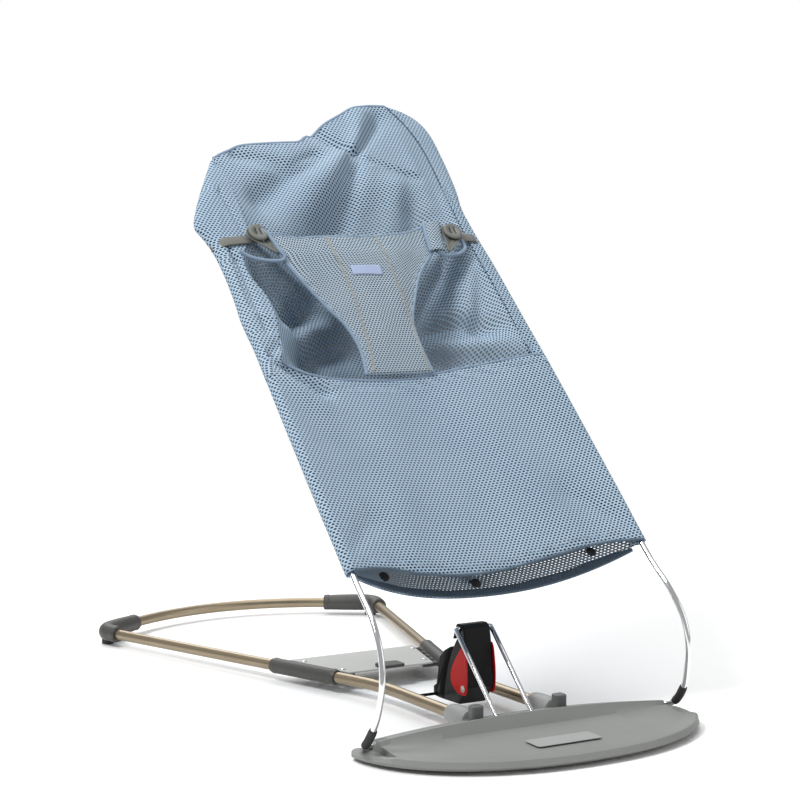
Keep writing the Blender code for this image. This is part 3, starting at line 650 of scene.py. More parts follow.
def even_steps(path, count):
    """The same line in equal steps."""
    lengths = [0.0]
    for a, b in zip(path, path[1:]):
        lengths.append(lengths[-1] + (b - a).length)
    out = []
    index = 0
    for k in range(count + 1):
        want = lengths[-1] * k / count
        while index < len(path) - 2 and lengths[index + 1] < want:
            index += 1
        span = lengths[index + 1] - lengths[index]
        out.append(path[index].lerp(path[index + 1], (want - lengths[index]) / span))
    return out


for side, name in SIDES:
    line = even_steps(elbow_line(side), 60)
    elbow = loft(f"elbow_{name}", rings(line, lipped(ELBOW_RADIUS, 0.0005, 0.07, 0.0014), 36), DARK_GREY)
    sole = prism("sole_cut", box_outline(-0.4, 0.2, 0.4, 0.6, 0.01), -0.05, 0.0062, "z", None)
    cut(elbow, sole)
    keep(elbow, "base", "dark_plastic", f"rear_elbow_{name}")
    centre = elbow_line(side)[11]
    pad = prism(f"rear_pad_{name}", circle(centre.x, centre.y, 0.0070, 40), 0.0, 0.0060, "z", RUBBER, 0.0008)
    keep(pad, "base", "black_rubber", f"elbow_pad_{name}")

print("base tubes, cross tube and two elbows")

# %% [markdown]
# ## The foot plate
# A weighted half-moon moulding stands flat on the floor. Its top is slightly dished, its front edge is
# rounded, and a straight lip runs along the rear. A cross section changes smoothly from tip to tip, so
# the plate is a loft. The channel for the spring wire and two slots for the lever wire are cut from it.

# %% Foot plate shape
PLATE_HALF, PLATE_FRONT, PLATE_CREST, PLATE_REAR, PLATE_LOW = 0.187, -0.4065, -0.290, -0.262, 0.004
LIP_MIDDLE, LIP_TIP = 0.0255, 0.0150
NOTCH_X, NOTCH_TOP = 0.1640, 0.0068
RIM_TOP, TIP_START, FRONT_SHARE = 0.0130, 0.172, 0.44
FALL_X, FALL_LENGTH = 0.170, 0.012
WIRE, LEVER = 0.0029, 0.0024
LEVER_X, STUB_SPLIT = 0.0205, 0.102


def plate_front(x):
    reach = max(0.0, 1.0 - abs(x / PLATE_HALF) ** 2.2) ** 0.5
    return PLATE_CREST + 0.006 + (PLATE_FRONT - PLATE_CREST - 0.006) * reach


def plate_section(x):
    front, crest = plate_front(x), PLATE_CREST + 0.002
    rear = PLATE_REAR - 0.016 * max(0.0, (abs(x) - TIP_START) / (PLATE_HALF - TIP_START)) ** 2
    out = abs(x / PLATE_HALF) ** 2
    rim = LIP_MIDDLE + (LIP_TIP - LIP_MIDDLE) * out
    depth = crest - front
    profile = [(rear, PLATE_LOW), (front + min(0.004, 0.3 * depth), PLATE_LOW), (front, PLATE_LOW + 0.003),
               (front + min(0.003, 0.15 * depth), 0.0125), (front + min(0.0065, 0.3 * depth), RIM_TOP),
               (front + min(0.0120, 0.45 * depth), 0.0108), (front + 0.40 * depth, 0.0106),
               (front + 0.70 * depth, 0.0118), (crest - min(0.008, 0.2 * depth), 0.0135),
               (crest - min(0.003, 0.1 * depth), rim - 0.0040), (crest, rim), (crest + 0.004, rim - 0.0005),
               (crest + 0.008, rim - 0.0050), (rear, rim - 0.0055)]
    fall = min(1.0, max(0.0, (abs(x) - FALL_X) / FALL_LENGTH))
    front_top = RIM_TOP - (RIM_TOP - NOTCH_TOP) * fall * fall * (3 - 2 * fall)
    rear_top = NOTCH_TOP if abs(x) > NOTCH_X else LIP_MIDDLE
    split = front + FRONT_SHARE * depth
    return [Vector((x, y, min(z, front_top if y < split else rear_top))) for y, z in profile]


def build_plate():
    count = 120
    places = [PLATE_HALF * math.sin(math.pi / 2 * (2 * k / count - 1)) for k in range(count + 1)]
    places[0], places[-1] = -PLATE_HALF + 0.0008, PLATE_HALF - 0.0008
    places = sorted(places + [a * (NOTCH_X + b) for a in (-1, 1) for b in (-0.0002, 0.0002)])
    plate = loft("foot_plate", [plate_section(x) for x in places], PLATE_GREY, smooth_angle=40)
    for side, name in SIDES:
        low, high = sorted((side * (LEVER_X - 0.0034), side * (LEVER_X + 0.0034)))
        slot = box_outline(AXIS.y - 0.0045, AXIS.z - 0.0045, PLATE_REAR + 0.01, 0.06, 0.002)
        cut(plate, prism("slot", slot, low, high, "x", None))
    cut(plate, prism("channel", circle(AXIS.y, AXIS.z, WIRE + 0.0007, 24), -0.1660, 0.1660, "x", None))
    return keep(plate, "base", "plate_rubber", "footplate")


plate = build_plate()
print("foot plate faces", len(plate.data.polygons))

# %% Sockets and bumpers on the foot plate
for side, name in SIDES:
    x = side * TUBE_X_FRONT
    shape = [(PLATE_REAR + 0.0003, 0.0080), (PLATE_REAR + 0.0008, 0.0088), (PLATE_REAR + 0.004, 0.0100),
             (PLATE_REAR + 0.009, 0.0104), (PLATE_REAR + 0.016, 0.0105), (-0.236, 0.0102), (-0.231, 0.0096),
             (-0.228, 0.0089), (-0.2264, 0.0080), (-0.2262, 0.0070), (-0.2262, 0.0064), (-0.2290, 0.0064)]
    sections = [[Vector((a, y, b)) for a, b in circle(x, TUBE_Z_FRONT, radius, 48)] for y, radius in shape]
    keep(loft(f"socket_{name}", sections, SOCKET_GREY), "base", "socket_plastic", f"tube_socket_{name}")
    block = prism(f"bumper_block_{name}", box_outline(x - 0.0064, -0.2785, x + 0.0064, -0.2660, 0.004),
                  0.0190, 0.0345, "z", BUMPER, 0.0016, 4)
    keep(block, "base", "socket_plastic", f"bumper_{name}")

# %% [markdown]
# ## The spring wires
# The outer wire is the seat's frame: a stub in the foot plate, a bow outwards and forwards, two rails
# and a loop at the head. The inner one is the height lever. Both are chromed spring steel.

# %% Wire routes
RAIL = [(0.0, 0.168), (0.12, 0.1665), (0.244, 0.1640), (0.34, 0.1605), (0.43, 0.1555), (0.457, 0.1545)]
RISE = Vector((0.0, -0.191 - AXIS.y, 0.091 - AXIS.z))


def rail(s):
    return read(RAIL, s)


def seat_wire_route():
    lower = [(-STUB_SPLIT - 0.001, 0.0, 0.0), (-0.140, 0.0, 0.0), (-0.1660, 0.0, 0.0)]
    bend = [(-0.1740, -0.2765, 0.0110), (-0.1775, -0.2840, 0.0130), (-0.1782, -0.2930, 0.0200),
            (-0.1775, -0.3030, 0.0340), (-0.1760, -0.3090, 0.0500), (-0.1745, -0.3130, 0.0760),
            (-0.1725, -0.3070, 0.1040), (-0.1700, -0.2880, 0.1300), (-0.1685, -0.2660, 0.1490)]
    head = [(-0.1500, 0.4680), (-0.1400, 0.4980), (-0.1200, 0.5220), (-0.0900, 0.5380), (-0.0550, 0.5455),
            (0.0, 0.5480)]
    rails = [(-width, s) for s, width in RAIL[:5]]
    return mirrored([AXIS + Vector(p) for p in lower] + [Vector(p) for p in bend]
                    + [seat(x, s) for x, s in rails + head])


def lever_route():
    arm = Vector((-LEVER_X, 0.0, 0.0))
    half = [Vector((-STUB_SPLIT + 0.001, 0.0, 0.0)), Vector((-0.060, 0.0, 0.0)),
            arm + Vector((-0.0060, 0.0, 0.0)), arm + Vector((-0.0012, 0.0, 0.0)) + RISE * 0.012,
            arm + RISE * 0.07, arm + RISE * 0.5, arm + RISE * 0.95,
            arm + Vector((0.0012, 0.0, 0.0)) + RISE * 0.99, arm + Vector((0.0050, 0.0, 0.0)) + RISE]
    return mirrored([AXIS + point for point in half])


STEPS = 10
WIRE_LINE = smooth(seat_wire_route(), STEPS)
keep(bar("seat_frame_wire", WIRE_LINE, WIRE, CHROME, 24), "seat_frame", "chrome_wire", "seat_wire")
keep(bar("lever_bar", smooth(lever_route(), 8), LEVER, CHROME, 24),
     "recline_arm", "chrome_wire", "lever_wire")

# %% Rubber bushes where the wire leaves the plate
BUSH_WALL, BUSH_GAP = 0.0013, 0.0005


def bush(name, line):
    outside = rings(line, lambda t: WIRE + BUSH_WALL - 0.0004 * max(0.0, abs(2 * t - 1) - 0.8) / 0.2, 32)
    inside = rings(line, WIRE + BUSH_GAP, 32)
    return loft(name, outside + list(reversed(inside)), RUBBER, closed=True)


first, last = round(4.35 * STEPS), 6 * STEPS
keep(bush("bush_left", WIRE_LINE[first:last]), "seat_frame", "black_rubber", "wire_bush_left")
keep(bush("bush_right", WIRE_LINE[-last:-first]), "seat_frame", "black_rubber", "wire_bush_right")
print("wire points", len(WIRE_LINE))

# %% [markdown]
# ## The height catch
# The black housing holds the lever's cross bar in an arc-shaped slot, and two red plates on one pin
# release it. The outline is cut like a jigsaw piece and its edges are rounded as a mould leaves them.

# %% Catch housing
HOUSING_HALF, ROD_Y, ROD_Z = 0.0155, -0.146, 0.0170


def build_housing():
    profile = [(-0.2060, 0.0340), (-0.1900, 0.0145), (-0.1560, 0.0135), (-0.1400, 0.0140), (-0.1395, 0.0240),
               (-0.1450, 0.0270), (-0.1510, 0.0560), (-0.1600, 0.0640), (-0.1740, 0.0710), (-0.1790, 0.0850),
               (-0.1835, 0.0950), (-0.1925, 0.0957), (-0.1980, 0.0925), (-0.2005, 0.0790)]
    housing = prism("housing", profile, -HOUSING_HALF, HOUSING_HALF, "x", BLACK, 0.0014, 4)
    settle(housing)
    start, reach = math.atan2(RISE.z, RISE.y), RISE.length
    turns = [start + math.radians(1.6 - 43.5 * k / 30) for k in range(31)]
    arc = [(AXIS.y + (reach + LEVER + 0.0007) * math.cos(a), AXIS.z + (reach + LEVER + 0.0007) * math.sin(a))
           for a in turns]
    arc += [(AXIS.y + (reach - LEVER - 0.0007) * math.cos(a), AXIS.z + (reach - LEVER - 0.0007) * math.sin(a))
            for a in reversed(turns)]
    cut(housing, prism("slot", arc, -0.03, 0.03, "x", None))
    cut(housing, prism("bore", circle(ROD_Y, ROD_Z, 0.0018, 24), -0.03, 0.03, "x", None))
    return keep(housing, "base", "black_plastic", "catch_housing")


housing = build_housing()
reach = TUBE_X_FRONT - TUBE_RADIUS - 0.0003
rod_line = [Vector((-reach + 2 * reach * k / 8, ROD_Y, ROD_Z)) for k in range(9)]
keep(bar("cross_rod_bar", rod_line, 0.0015, BLACK, 16), "base", "black_rod", "cross_rod")

# %% Red release plates and their pin
DROP = [(-0.0062, -0.0030), (0.0000, -0.0068), (0.0130, -0.0050), (0.0225, 0.0030), (0.0235, 0.0130),
        (0.0170, 0.0250), (0.0075, 0.0370), (0.0010, 0.0440), (-0.0030, 0.0420), (-0.0060, 0.0300),
        (-0.0078, 0.0120)]


def closed_smooth(points, per_span):
    """A smooth loop through the points."""
    count = len(points)
    loop = []
    for index in range(count):
        a, b, c, d = (Vector(points[(index + k) % count]) for k in (-1, 0, 1, 2))
        for step in range(per_span):
            t = step / per_span
            loop.append(0.5 * (2 * b + (c - a) * t + (2 * a - 5 * b + 4 * c - d) * t**2
                               + (3 * b - a - 3 * c + d) * t**3))
    return loop


drop = [(CATCH.y + p.x, CATCH.z + p.y) for p in closed_smooth(DROP, 5)]
for side, name in SIDES:
    low, high = sorted((side * (HOUSING_HALF + 0.0003), side * 0.0170))
    cheek = prism(f"release_plate_{name}", drop, low, high, "x", RED, 0.0005, 3)
    keep(cheek, "catch", "red_plastic", f"catch_plate_{name}")
stations = [(-0.0179, 0.0008), (-0.0179, 0.0022), (-0.01775, 0.0032), (-0.0174, 0.0036), (-0.0171, 0.0036),
            (-0.0171, 0.0020)]
stations += [(-x, radius) for x, radius in reversed(stations)]
sections = [[Vector((x, a, b)) for a, b in circle(CATCH.y, CATCH.z, radius, 32)] for x, radius in stations]
keep(loft("catch_rivet", sections, STEEL), "catch", "steel", "catch_pin")
print("housing faces", len(housing.data.polygons))

# %% [markdown]
# ## The stay plate
# A flat steel plate ties the two side tubes together. It is riveted to slotted flanges on two plastic
# sleeves, and a small hook at its front catches the folded seat.

# %% Sleeves, plate and hook
SLEEVE_RADIUS, SLEEVE_FRONT, SLEEVE_REAR = 0.0083, -0.030, 0.061
STAY_Z = side_tube(1, 0.5 * (SLEEVE_FRONT + SLEEVE_REAR)).z


def build_sleeve(side, name):
    line = [side_tube(side, SLEEVE_FRONT + (SLEEVE_REAR - SLEEVE_FRONT) * k / 24) for k in range(25)]
    outside = rings(line, lipped(SLEEVE_RADIUS, 0.0004, 0.08), 40)
    inside = rings(line, TUBE_RADIUS + 0.0003, 40)
    tube = loft(f"sleeve_tube_{name}", outside + list(reversed(inside)), DARK_GREY, closed=True)
    front, rear = side_tube(side, SLEEVE_FRONT + 0.006), side_tube(side, SLEEVE_REAR - 0.006)
    near, far = side * 0.0078, side * 0.0270
    outline = [(front.x - near, front.y), (front.x - far, front.y), (rear.x - far, rear.y),
               (rear.x - near, rear.y)]
    flange = prism(f"sleeve_flange_{name}", outline, STAY_Z - 0.0022, STAY_Z + 0.0016, "z",
                   DARK_GREY, 0.0005, 2)
    settle(flange)
    for k in range(4):
        y = front.y + 0.014 + 0.0165 * k
        x = side_tube(side, y).x - side * 0.0125
        slot = box_outline(x - 0.0028, y - 0.0045, x + 0.0028, y + 0.0045, 0.0012)
        cut(flange, prism("slot", slot, STAY_Z - 0.01, STAY_Z + 0.01, "z", None))
    keep(flange, "base", "dark_plastic")
    keep(tube, "base", "dark_plastic", f"plate_sleeve_{name}")
    return (front.x - side * 0.0175, front.y), (rear.x - side * 0.0175, rear.y)


(left_front, left_rear), (right_front, right_rear) = (build_sleeve(side, name) for side, name in SIDES)
outline = [(left_front[0], left_front[1] - 0.004), (right_front[0], right_front[1] - 0.004),
           (right_rear[0], right_rear[1] + 0.004), (left_rear[0], left_rear[1] + 0.004)]
stay = prism("stay_sheet", outline, STAY_Z + 0.0019, STAY_Z + 0.0037, "z", STAY, 0.0004, 2)
keep(stay, "base", "stay_plate", "stay_plate")
hook = prism("stay_catch", box_outline(-0.014, left_front[1] - 0.0105, 0.014, left_front[1] + 0.010, 0.004),
             STAY_Z + 0.0040, STAY_Z + 0.0074, "z", DARK_GREY, 0.0010, 3)
keep(hook, "base", "dark_plastic", "stay_hook")

# %% [markdown]
# ## Small round heads by Geometry Nodes
# Rivets, screws and press studs are the same turned head in different sizes. One tree puts a low dome
# on every point of a guide mesh, so each group is one run with its own radius and height.

# %% The head tree


def head_tree():
    tree = bpy.data.node_groups.new("heads_on_points", "GeometryNodeTree")
    tree.interface.new_socket("Geometry", in_out="INPUT", socket_type="NodeSocketGeometry")
    for name in ("Radius", "Height", "Tilt"):
        tree.interface.new_socket(name, in_out="INPUT", socket_type="NodeSocketFloat")
    tree.interface.new_socket("Finish", in_out="INPUT", socket_type="NodeSocketMaterial")
    tree.interface.new_socket("Geometry", in_out="OUTPUT", socket_type="NodeSocketGeometry")
    new, link = tree.nodes.new, tree.links.new
    start, end = new("NodeGroupInput"), new("NodeGroupOutput")
    ball = new("GeometryNodeMeshUVSphere")
    ball.inputs["Segments"].default_value = 20
    ball.inputs["Rings"].default_value = 10
    scale = new("ShaderNodeCombineXYZ")
    flatten = new("GeometryNodeTransform")
    turn = new("ShaderNodeCombineXYZ")
    spread = new("GeometryNodeInstanceOnPoints")
    real, paint = new("GeometryNodeRealizeInstances"), new("GeometryNodeSetMaterial")
    for axis in ("X", "Y"):
        link(start.outputs["Radius"], scale.inputs[axis])
    link(start.outputs["Height"], scale.inputs["Z"])
    link(ball.outputs["Mesh"], flatten.inputs["Geometry"])
    link(scale.outputs["Vector"], flatten.inputs["Scale"])
    link(start.outputs["Tilt"], turn.inputs["X"])
    link(start.outputs["Geometry"], spread.inputs["Points"])
    link(flatten.outputs["Geometry"], spread.inputs["Instance"])
    link(turn.outputs["Vector"], spread.inputs["Rotation"])
    link(spread.outputs["Instances"], real.inputs["Geometry"])
    link(real.outputs["Geometry"], paint.inputs["Geometry"])
    link(start.outputs["Finish"], paint.inputs["Material"])
    link(paint.outputs["Geometry"], end.inputs["Geometry"])
    return tree


HEAD_TREE = head_tree()


def heads(name, places, radius, height, tilt, material):
    mesh = bpy.data.meshes.new(f"{name}_points")
    mesh.from_pydata([tuple(place) for place in places], [], [])
    guide = bpy.data.objects.new(f"{name}_points", mesh)
    bpy.context.scene.collection.objects.link(guide)
    made = run_tree(name, guide, HEAD_TREE, Radius=radius, Height=height, Tilt=tilt, Finish=material)
    made.data.shade_smooth()
    return made


# %% Rivets
rivets = []
for side, name in SIDES:
    for y in (SLEEVE_FRONT + 0.018, SLEEVE_REAR - 0.018):
        rivets.append((side_tube(side, y).x - side * 0.0225, y, STAY_Z + 0.0039))
names = [f"stay_rivet_{name}_{end}" for name in ("left", "right") for end in ("front", "rear")]
keep(heads("stay_rivets", rivets, 0.0030, 0.0011, 0.0, STEEL), "base", "steel", *names)

print("stay plate and", len(rivets), "rivets")

# %% [markdown]
# ## Knitted mesh
# The cover is a spacer mesh: rows of small oval holes, each row half a step aside from the one below.
# The pattern is worked out from the cloth's own map, which is in metres, so the holes follow every fold
# and keep their size. A hole's rim carries painted shade where the yarn goes down; its middle is open.

# %% Mesh cloth finish


def mesh_cloth(name, dark, light, across, along, hole_wide, hole_high, painted_rim_shade, opening):
    """Knitted mesh: pitch across and along the cloth, hole size, painted shade at a hole's rim, and how open
    a hole is.
    """
    finish = Finish(name, light, 0.82)
    u, v = finish.uv()
    row = (v / along).floor()
    shift = (row * 0.5).part()
    from_u = ((u / across + shift).part() - 0.5) * (2 * across / hole_wide)
    from_v = ((v / along).part() - 0.5) * (2 * along / hole_high)
    reach = from_u * from_u + from_v * from_v
    rim = ((1.25 - reach) * 2.2).limit()
    core = ((0.62 - reach) * 4.0).limit()
    loops = (u * (2 * math.pi / 0.00092)).wave() * (v * (2 * math.pi / 0.00074)).wave()
    cloud = finish.noise(9.0, 4.0)
    yarn = finish.blend(cloud, dark, light)
    yarn = finish.blend((loops * 0.22 + 0.22).limit(), yarn, tuple(0.55 * c for c in dark))
    # painted shade: each hole's rim is blended towards the dark rim colour, standing in for the shadow inside
    # the hole
    finish.set("Base Color", finish.blend(rim, yarn, painted_rim_shade))
    finish.set("Alpha", 1 - core * opening)
    finish.set("Roughness", 0.86 - loops * 0.05)
    return finish.bump(loops * 0.18 - rim, 0.0005, 0.55).material


def plain_cloth(name, dark, light, pitch=0.0008, depth=0.00025):
    """Close cloth without holes, for hems, piping and seam tape."""
    finish = Finish(name, light, 0.85)
    u, v = finish.uv()
    weave = (u * (2 * math.pi / pitch)).wave() * (v * (2 * math.pi / pitch)).wave()
    cloud = finish.noise(30.0, 3.0)
    finish.set("Base Color", finish.blend((cloud * 0.7 + weave * 0.3).limit(), dark, light))
    finish.set("Roughness", 0.82 + weave * 0.08)
    return finish.bump(weave, depth, 0.6).material


# In each mesh, the dark colour after the hole size is painted shade at the hole rims, for the shadow inside
# each hole.
BLUE_DARK, BLUE_LIGHT = (0.325, 0.455, 0.590), (0.490, 0.635, 0.770)
MESH = mesh_cloth("blue_mesh", BLUE_DARK, BLUE_LIGHT, 0.0046, 0.0029, 0.0028, 0.0020,
                  (0.010, 0.020, 0.040), 0.40)
OPEN_MESH = mesh_cloth("open_mesh", BLUE_DARK, BLUE_LIGHT, 0.0046, 0.0029, 0.0037, 0.0025,
                       (0.110, 0.165, 0.230), 1.0)
BIB_MESH = mesh_cloth("pale_mesh", (0.365, 0.465, 0.555), (0.530, 0.640, 0.730),
                      0.0038, 0.0025, 0.0025, 0.0018, (0.006, 0.012, 0.022), 0.40)
HEM_CLOTH = plain_cloth("hem_cloth", (0.062, 0.098, 0.140), (0.115, 0.165, 0.220), 0.0021, 0.0006)
PIPING = plain_cloth("piping", (0.170, 0.245, 0.340), (0.270, 0.355, 0.460))
TAPE = plain_cloth("seam_tape", (0.26, 0.295, 0.315), (0.36, 0.395, 0.405))
THREAD = Finish("blue_thread", (0.36, 0.45, 0.58), 0.6)
THREAD.bump(THREAD.noise(4000.0, 2.0), 0.0001)
BEIGE = Finish("beige_thread", (0.46, 0.445, 0.39), 0.6)
BEIGE.bump(BEIGE.noise(4000.0, 2.0), 0.0001)

# %% [markdown]
# ## Folds
# Pulled cloth folds along straight lines that start where it is held. Each fold is a line with a width
# at both ends and a height, and a surface adds up the folds near a point. The list for each cloth is
# chosen as one would pinch and pull the real cover.

# %% Folds and the cloth maker


def fold(folds, x, s):
    total = 0.0
    for (x0, s0), (x1, s1), wide0, wide1, height in folds:
        dx, ds = x1 - x0, s1 - s0
        length = math.hypot(dx, ds)
        along = ((x - x0) * dx + (s - s0) * ds) / length**2
        held = min(1.0, max(0.0, along))
        wide = wide0 + (wide1 - wide0) * held
        aside = ((x - x0) * ds - (s - s0) * dx) / length
        beyond = (along - held) * length
        if abs(aside) < 3 * wide and abs(beyond) < 3 * wide:
            total += height * math.exp(-(aside / wide) ** 2 - (beyond / wide) ** 2)
    return total


def cloth(name, grid, material, wall=0.0012, other=None, flat=None):
    """Rows of points become cloth with a wall of even thickness. Its map in metres is measured along the
    rows and columns, or given as flat, the place of each point in the cloth before it was folded."""
    bm = bmesh.new()
    layer = bm.loops.layers.uv.new("UVMap")
    places = {}
    rows = []
    for j, line in enumerate(grid):
        row = [bm.verts.new(p) for p in line]
        middle = len(line) // 2
        across = [0.0]
        for a, b in zip(line, line[1:]):
            across.append(across[-1] + (b - a).length)
        for i, vert in enumerate(row):
            if j:
                low = places[rows[-1][i]][1] + (line[i] - grid[j - 1][i]).length
            else:
                low = (line[i] - HEM).dot(SEAT_UP)
            places[vert] = flat[j][i] if flat else (across[i] - across[middle], low)
        rows.append(row)
    for j in range(len(rows) - 1):
        for i in range(len(rows[j]) - 1):
            face = bm.faces.new((rows[j][i], rows[j][i + 1], rows[j + 1][i + 1], rows[j + 1][i]))
            face.smooth = True
            if other is not None and other[1](i, j):
                face.material_index = 1
            for corner in face.loops:
                corner[layer].uv = places[corner.vert]
    mesh = bpy.data.meshes.new(name)
    bm.to_mesh(mesh)
    bm.free()
    mesh.materials.append(material)
    if other is not None:
        mesh.materials.append(other[0])
    made = bpy.data.objects.new(name, mesh)
    bpy.context.scene.collection.objects.link(made)
    step = made.modifiers.new("wall", "SOLIDIFY")
    step.thickness = wall
    step.offset = 0.0
    return settle(made)


def half_area(made):
    """The cloth's own area: one side of its wall."""
    return sum(face.area for face in made.data.polygons) / 2


# %% [markdown]
# ## The lower panel
# The front of the cover from the hem to the leg openings. It goes round both rails, sags a little in the
# middle and ends in a stitched edge that turns up into the side sleeves.

# %% Lower panel
WRAP_LEFT, WRAP_RIGHT, FRONT_SAG = 0.0062, 0.0047, 0.018
PANEL_TOP = [(-0.164, 0.268), (-0.150, 0.264), (-0.138, 0.256), (-0.122, 0.248), (-0.100, 0.243),
             (-0.050, 0.241), (0.000, 0.243),
             (0.030, 0.247), (0.070, 0.252), (0.150, 0.257), (0.164, 0.254)]
PANEL_HEM = [(-0.168, 0.000), (-0.126, 0.004), (-0.087, -0.002), (-0.024, -0.0045), (0.0255, 0.001),
             (0.076, 0.007), (0.129, 0.010), (0.168, 0.004)]
PANEL_FOLDS = [((-0.155, 0.262), (-0.110, 0.225), 0.005, 0.009, -0.0060),
               ((-0.160, 0.245), (-0.120, 0.205), 0.006, 0.012, 0.0022),
               ((-0.162, 0.215), (-0.130, 0.160), 0.008, 0.016, -0.0015),
               ((-0.090, 0.020), (-0.050, 0.200), 0.016, 0.024, 0.0016),
               ((0.020, 0.010), (0.000, 0.215), 0.022, 0.028, -0.0014),
               ((0.100, 0.020), (0.070, 0.200), 0.018, 0.026, 0.0016),
               ((0.160, 0.030), (0.115, 0.075), 0.007, 0.014, -0.0022),
               ((-0.160, 0.025), (-0.120, 0.060), 0.007, 0.014, -0.0020)]

PANEL_GAIN = 1.5


def panel_point(u, v, lift=0.0):
    """A point of the lower panel: u from -1 to 1 across, v from 0 at the hem to 1 at its top."""
    x = 0.165 * u
    low, high = read(PANEL_HEM, x), read(PANEL_TOP, x)
    s = low + (high - low) * v
    edge = WRAP_LEFT + (WRAP_RIGHT - WRAP_LEFT) * (u + 1) / 2
    flat = 1 - u * u
    hem_roll = 0.0030 * math.exp(-((s - low) / 0.006) ** 2) * flat
    folds = PANEL_GAIN * fold(PANEL_FOLDS, rail(s) * u, s)
    n = edge - FRONT_SAG * flat + folds * min(1.0, 4 * flat) - hem_roll
    return seat(rail(s) * u, s, n + lift)


def wrap(side, s, radius, steps=8, lip=0.004):
    """Cloth from the front of a rail round its outside to a short lip behind it."""
    line = []
    for k in range(1, steps + 1):
        turn = math.radians(90 - 180 * k / steps)
        line.append(seat(side * (rail(s) + radius * math.cos(turn)), s, radius * math.sin(turn)))
    line.append(seat(side * (rail(s) - lip), s, -radius))
    line.append(seat(side * (rail(s) - 2.2 * lip), s, -0.0082))
    return line


def build_lower_panel():
    rows = []
    for step in range(71):
        v = step / 70
        front = [panel_point(k / 42, v) for k in range(-42, 43)]
        low_left, high_left = PANEL_HEM[0][1], PANEL_TOP[0][1]
        low_right, high_right = PANEL_HEM[-1][1], PANEL_TOP[-1][1]
        left = wrap(-1, low_left + (high_left - low_left) * v, WRAP_LEFT)
        right = wrap(1, low_right + (high_right - low_right) * v, WRAP_RIGHT)
        rows.append(list(reversed(left)) + front + right)
    return cloth("lower_panel_cloth", rows, MESH)


lower = keep(build_lower_panel(), "cover", "blue_mesh", "lower_panel")
print("lower panel area", round(half_area(lower), 4))

# %% [markdown]
# ## The seat and its head
# One long cloth is the hammock that the baby lies in. It hangs deep between the sleeves, rises over the
# wire loop at the head and ends in the loose top edge, which stands up in two peaks. Tension lines run
# from the loop, from the straps and from the lower corners.

# %% Seat cloth shape
SEAT_GAIN, LOOP_START = 1.45, 0.46
SEAM_LEFT = [(-0.020, -0.1600), (0.200, -0.1600), (0.245, -0.1580), (0.258, -0.1500), (0.275, -0.1430),
             (0.290, -0.1400), (0.312, -0.1350), (0.344, -0.1340), (0.379, -0.1440), (0.405, -0.1400),
             (0.430, -0.1240), (0.460, -0.1200), (0.500, -0.1190), (0.530, -0.1210), (0.553, -0.1240)]
SEAM_RIGHT = [(-0.020, 0.1600), (0.200, 0.1600), (0.245, 0.1570), (0.270, 0.1500), (0.340, 0.1480),
              (0.430, 0.1440), (0.500, 0.1460), (0.570, 0.1480), (0.610, 0.1420), (0.6465, 0.1280)]
SEAM_LEVEL = [(-0.020, -0.0085), (0.235, -0.0085), (0.264, 0.0030), (0.300, 0.0045), (0.450, 0.0050),
              (0.600, 0.0035), (0.650, 0.0020)]
SAG = [(-0.020, 0.036), (0.060, 0.052), (0.150, 0.062), (0.240, 0.066), (0.330, 0.064), (0.390, 0.052),
       (0.430, 0.038), (0.460, 0.024), (0.490, 0.008), (0.515, -0.004), (0.540, -0.007), (0.580, -0.004),
       (0.650, 0.000)]
TOP_EDGE = [(-0.124, 0.553), (-0.114, 0.559), (-0.090, 0.570), (-0.060, 0.5735), (-0.030, 0.5755),
            (-0.012, 0.5775), (0.000, 0.587), (0.020, 0.601), (0.050, 0.621), (0.080, 0.638), (0.105, 0.646),
            (0.128, 0.6465)]
HEAD_FOLDS = [((0.050, 0.556), (-0.015, 0.440), 0.009, 0.019, -0.0125),
              ((0.036, 0.552), (-0.070, 0.452), 0.011, 0.026, 0.0085),
              ((0.000, 0.553), (-0.088, 0.494), 0.009, 0.018, -0.0105),
              ((-0.098, 0.556), (-0.052, 0.540), 0.008, 0.010, -0.0060),
              ((0.042, 0.568), (0.014, 0.600), 0.006, 0.013, -0.0100),
              ((0.056, 0.570), (0.085, 0.626), 0.008, 0.014, 0.0070),
              ((0.056, 0.562), (0.116, 0.628), 0.005, 0.010, -0.0085),
              ((0.062, 0.556), (0.116, 0.528), 0.004, 0.004, 0.0026),
              ((0.070, 0.548), (0.118, 0.520), 0.006, 0.006, -0.0035),
              ((0.085, 0.505), (0.060, 0.440), 0.014, 0.018, 0.0075),
              ((0.095, 0.478), (0.105, 0.435), 0.010, 0.013, -0.0070),
              ((0.145, 0.500), (0.135, 0.430), 0.007, 0.010, -0.0045),
              ((0.128, 0.600), (0.120, 0.480), 0.010, 0.012, 0.0035)]
SEAT_FOLDS = [((-0.128, 0.424), (-0.040, 0.372), 0.010, 0.018, 0.0080),
              ((-0.130, 0.400), (-0.085, 0.300), 0.010, 0.018, -0.0100),
              ((-0.110, 0.336), (-0.045, 0.380), 0.010, 0.016, -0.0110),
              ((-0.125, 0.310), (-0.040, 0.345), 0.010, 0.016, 0.0070),
              ((-0.130, 0.280), (-0.030, 0.325), 0.010, 0.018, -0.0080),
              ((0.130, 0.420), (0.070, 0.350), 0.010, 0.018, -0.0125),
              ((0.142, 0.405), (0.112, 0.335), 0.008, 0.014, 0.0075),
              ((0.146, 0.380), (0.130, 0.310), 0.007, 0.012, -0.0060),
              ((0.085, 0.345), (0.152, 0.300), 0.008, 0.009, -0.0085),
              ((0.080, 0.312), (0.150, 0.278), 0.008, 0.010, 0.0050),
              ((0.140, 0.262), (0.060, 0.300), 0.009, 0.014, -0.0050),
              ((-0.100, 0.060), (-0.060, 0.220), 0.016, 0.022, 0.0040),
              ((0.000, 0.030), (0.010, 0.230), 0.018, 0.024, -0.0040),
              ((0.090, 0.050), (0.060, 0.220), 0.016, 0.022, 0.0040)]
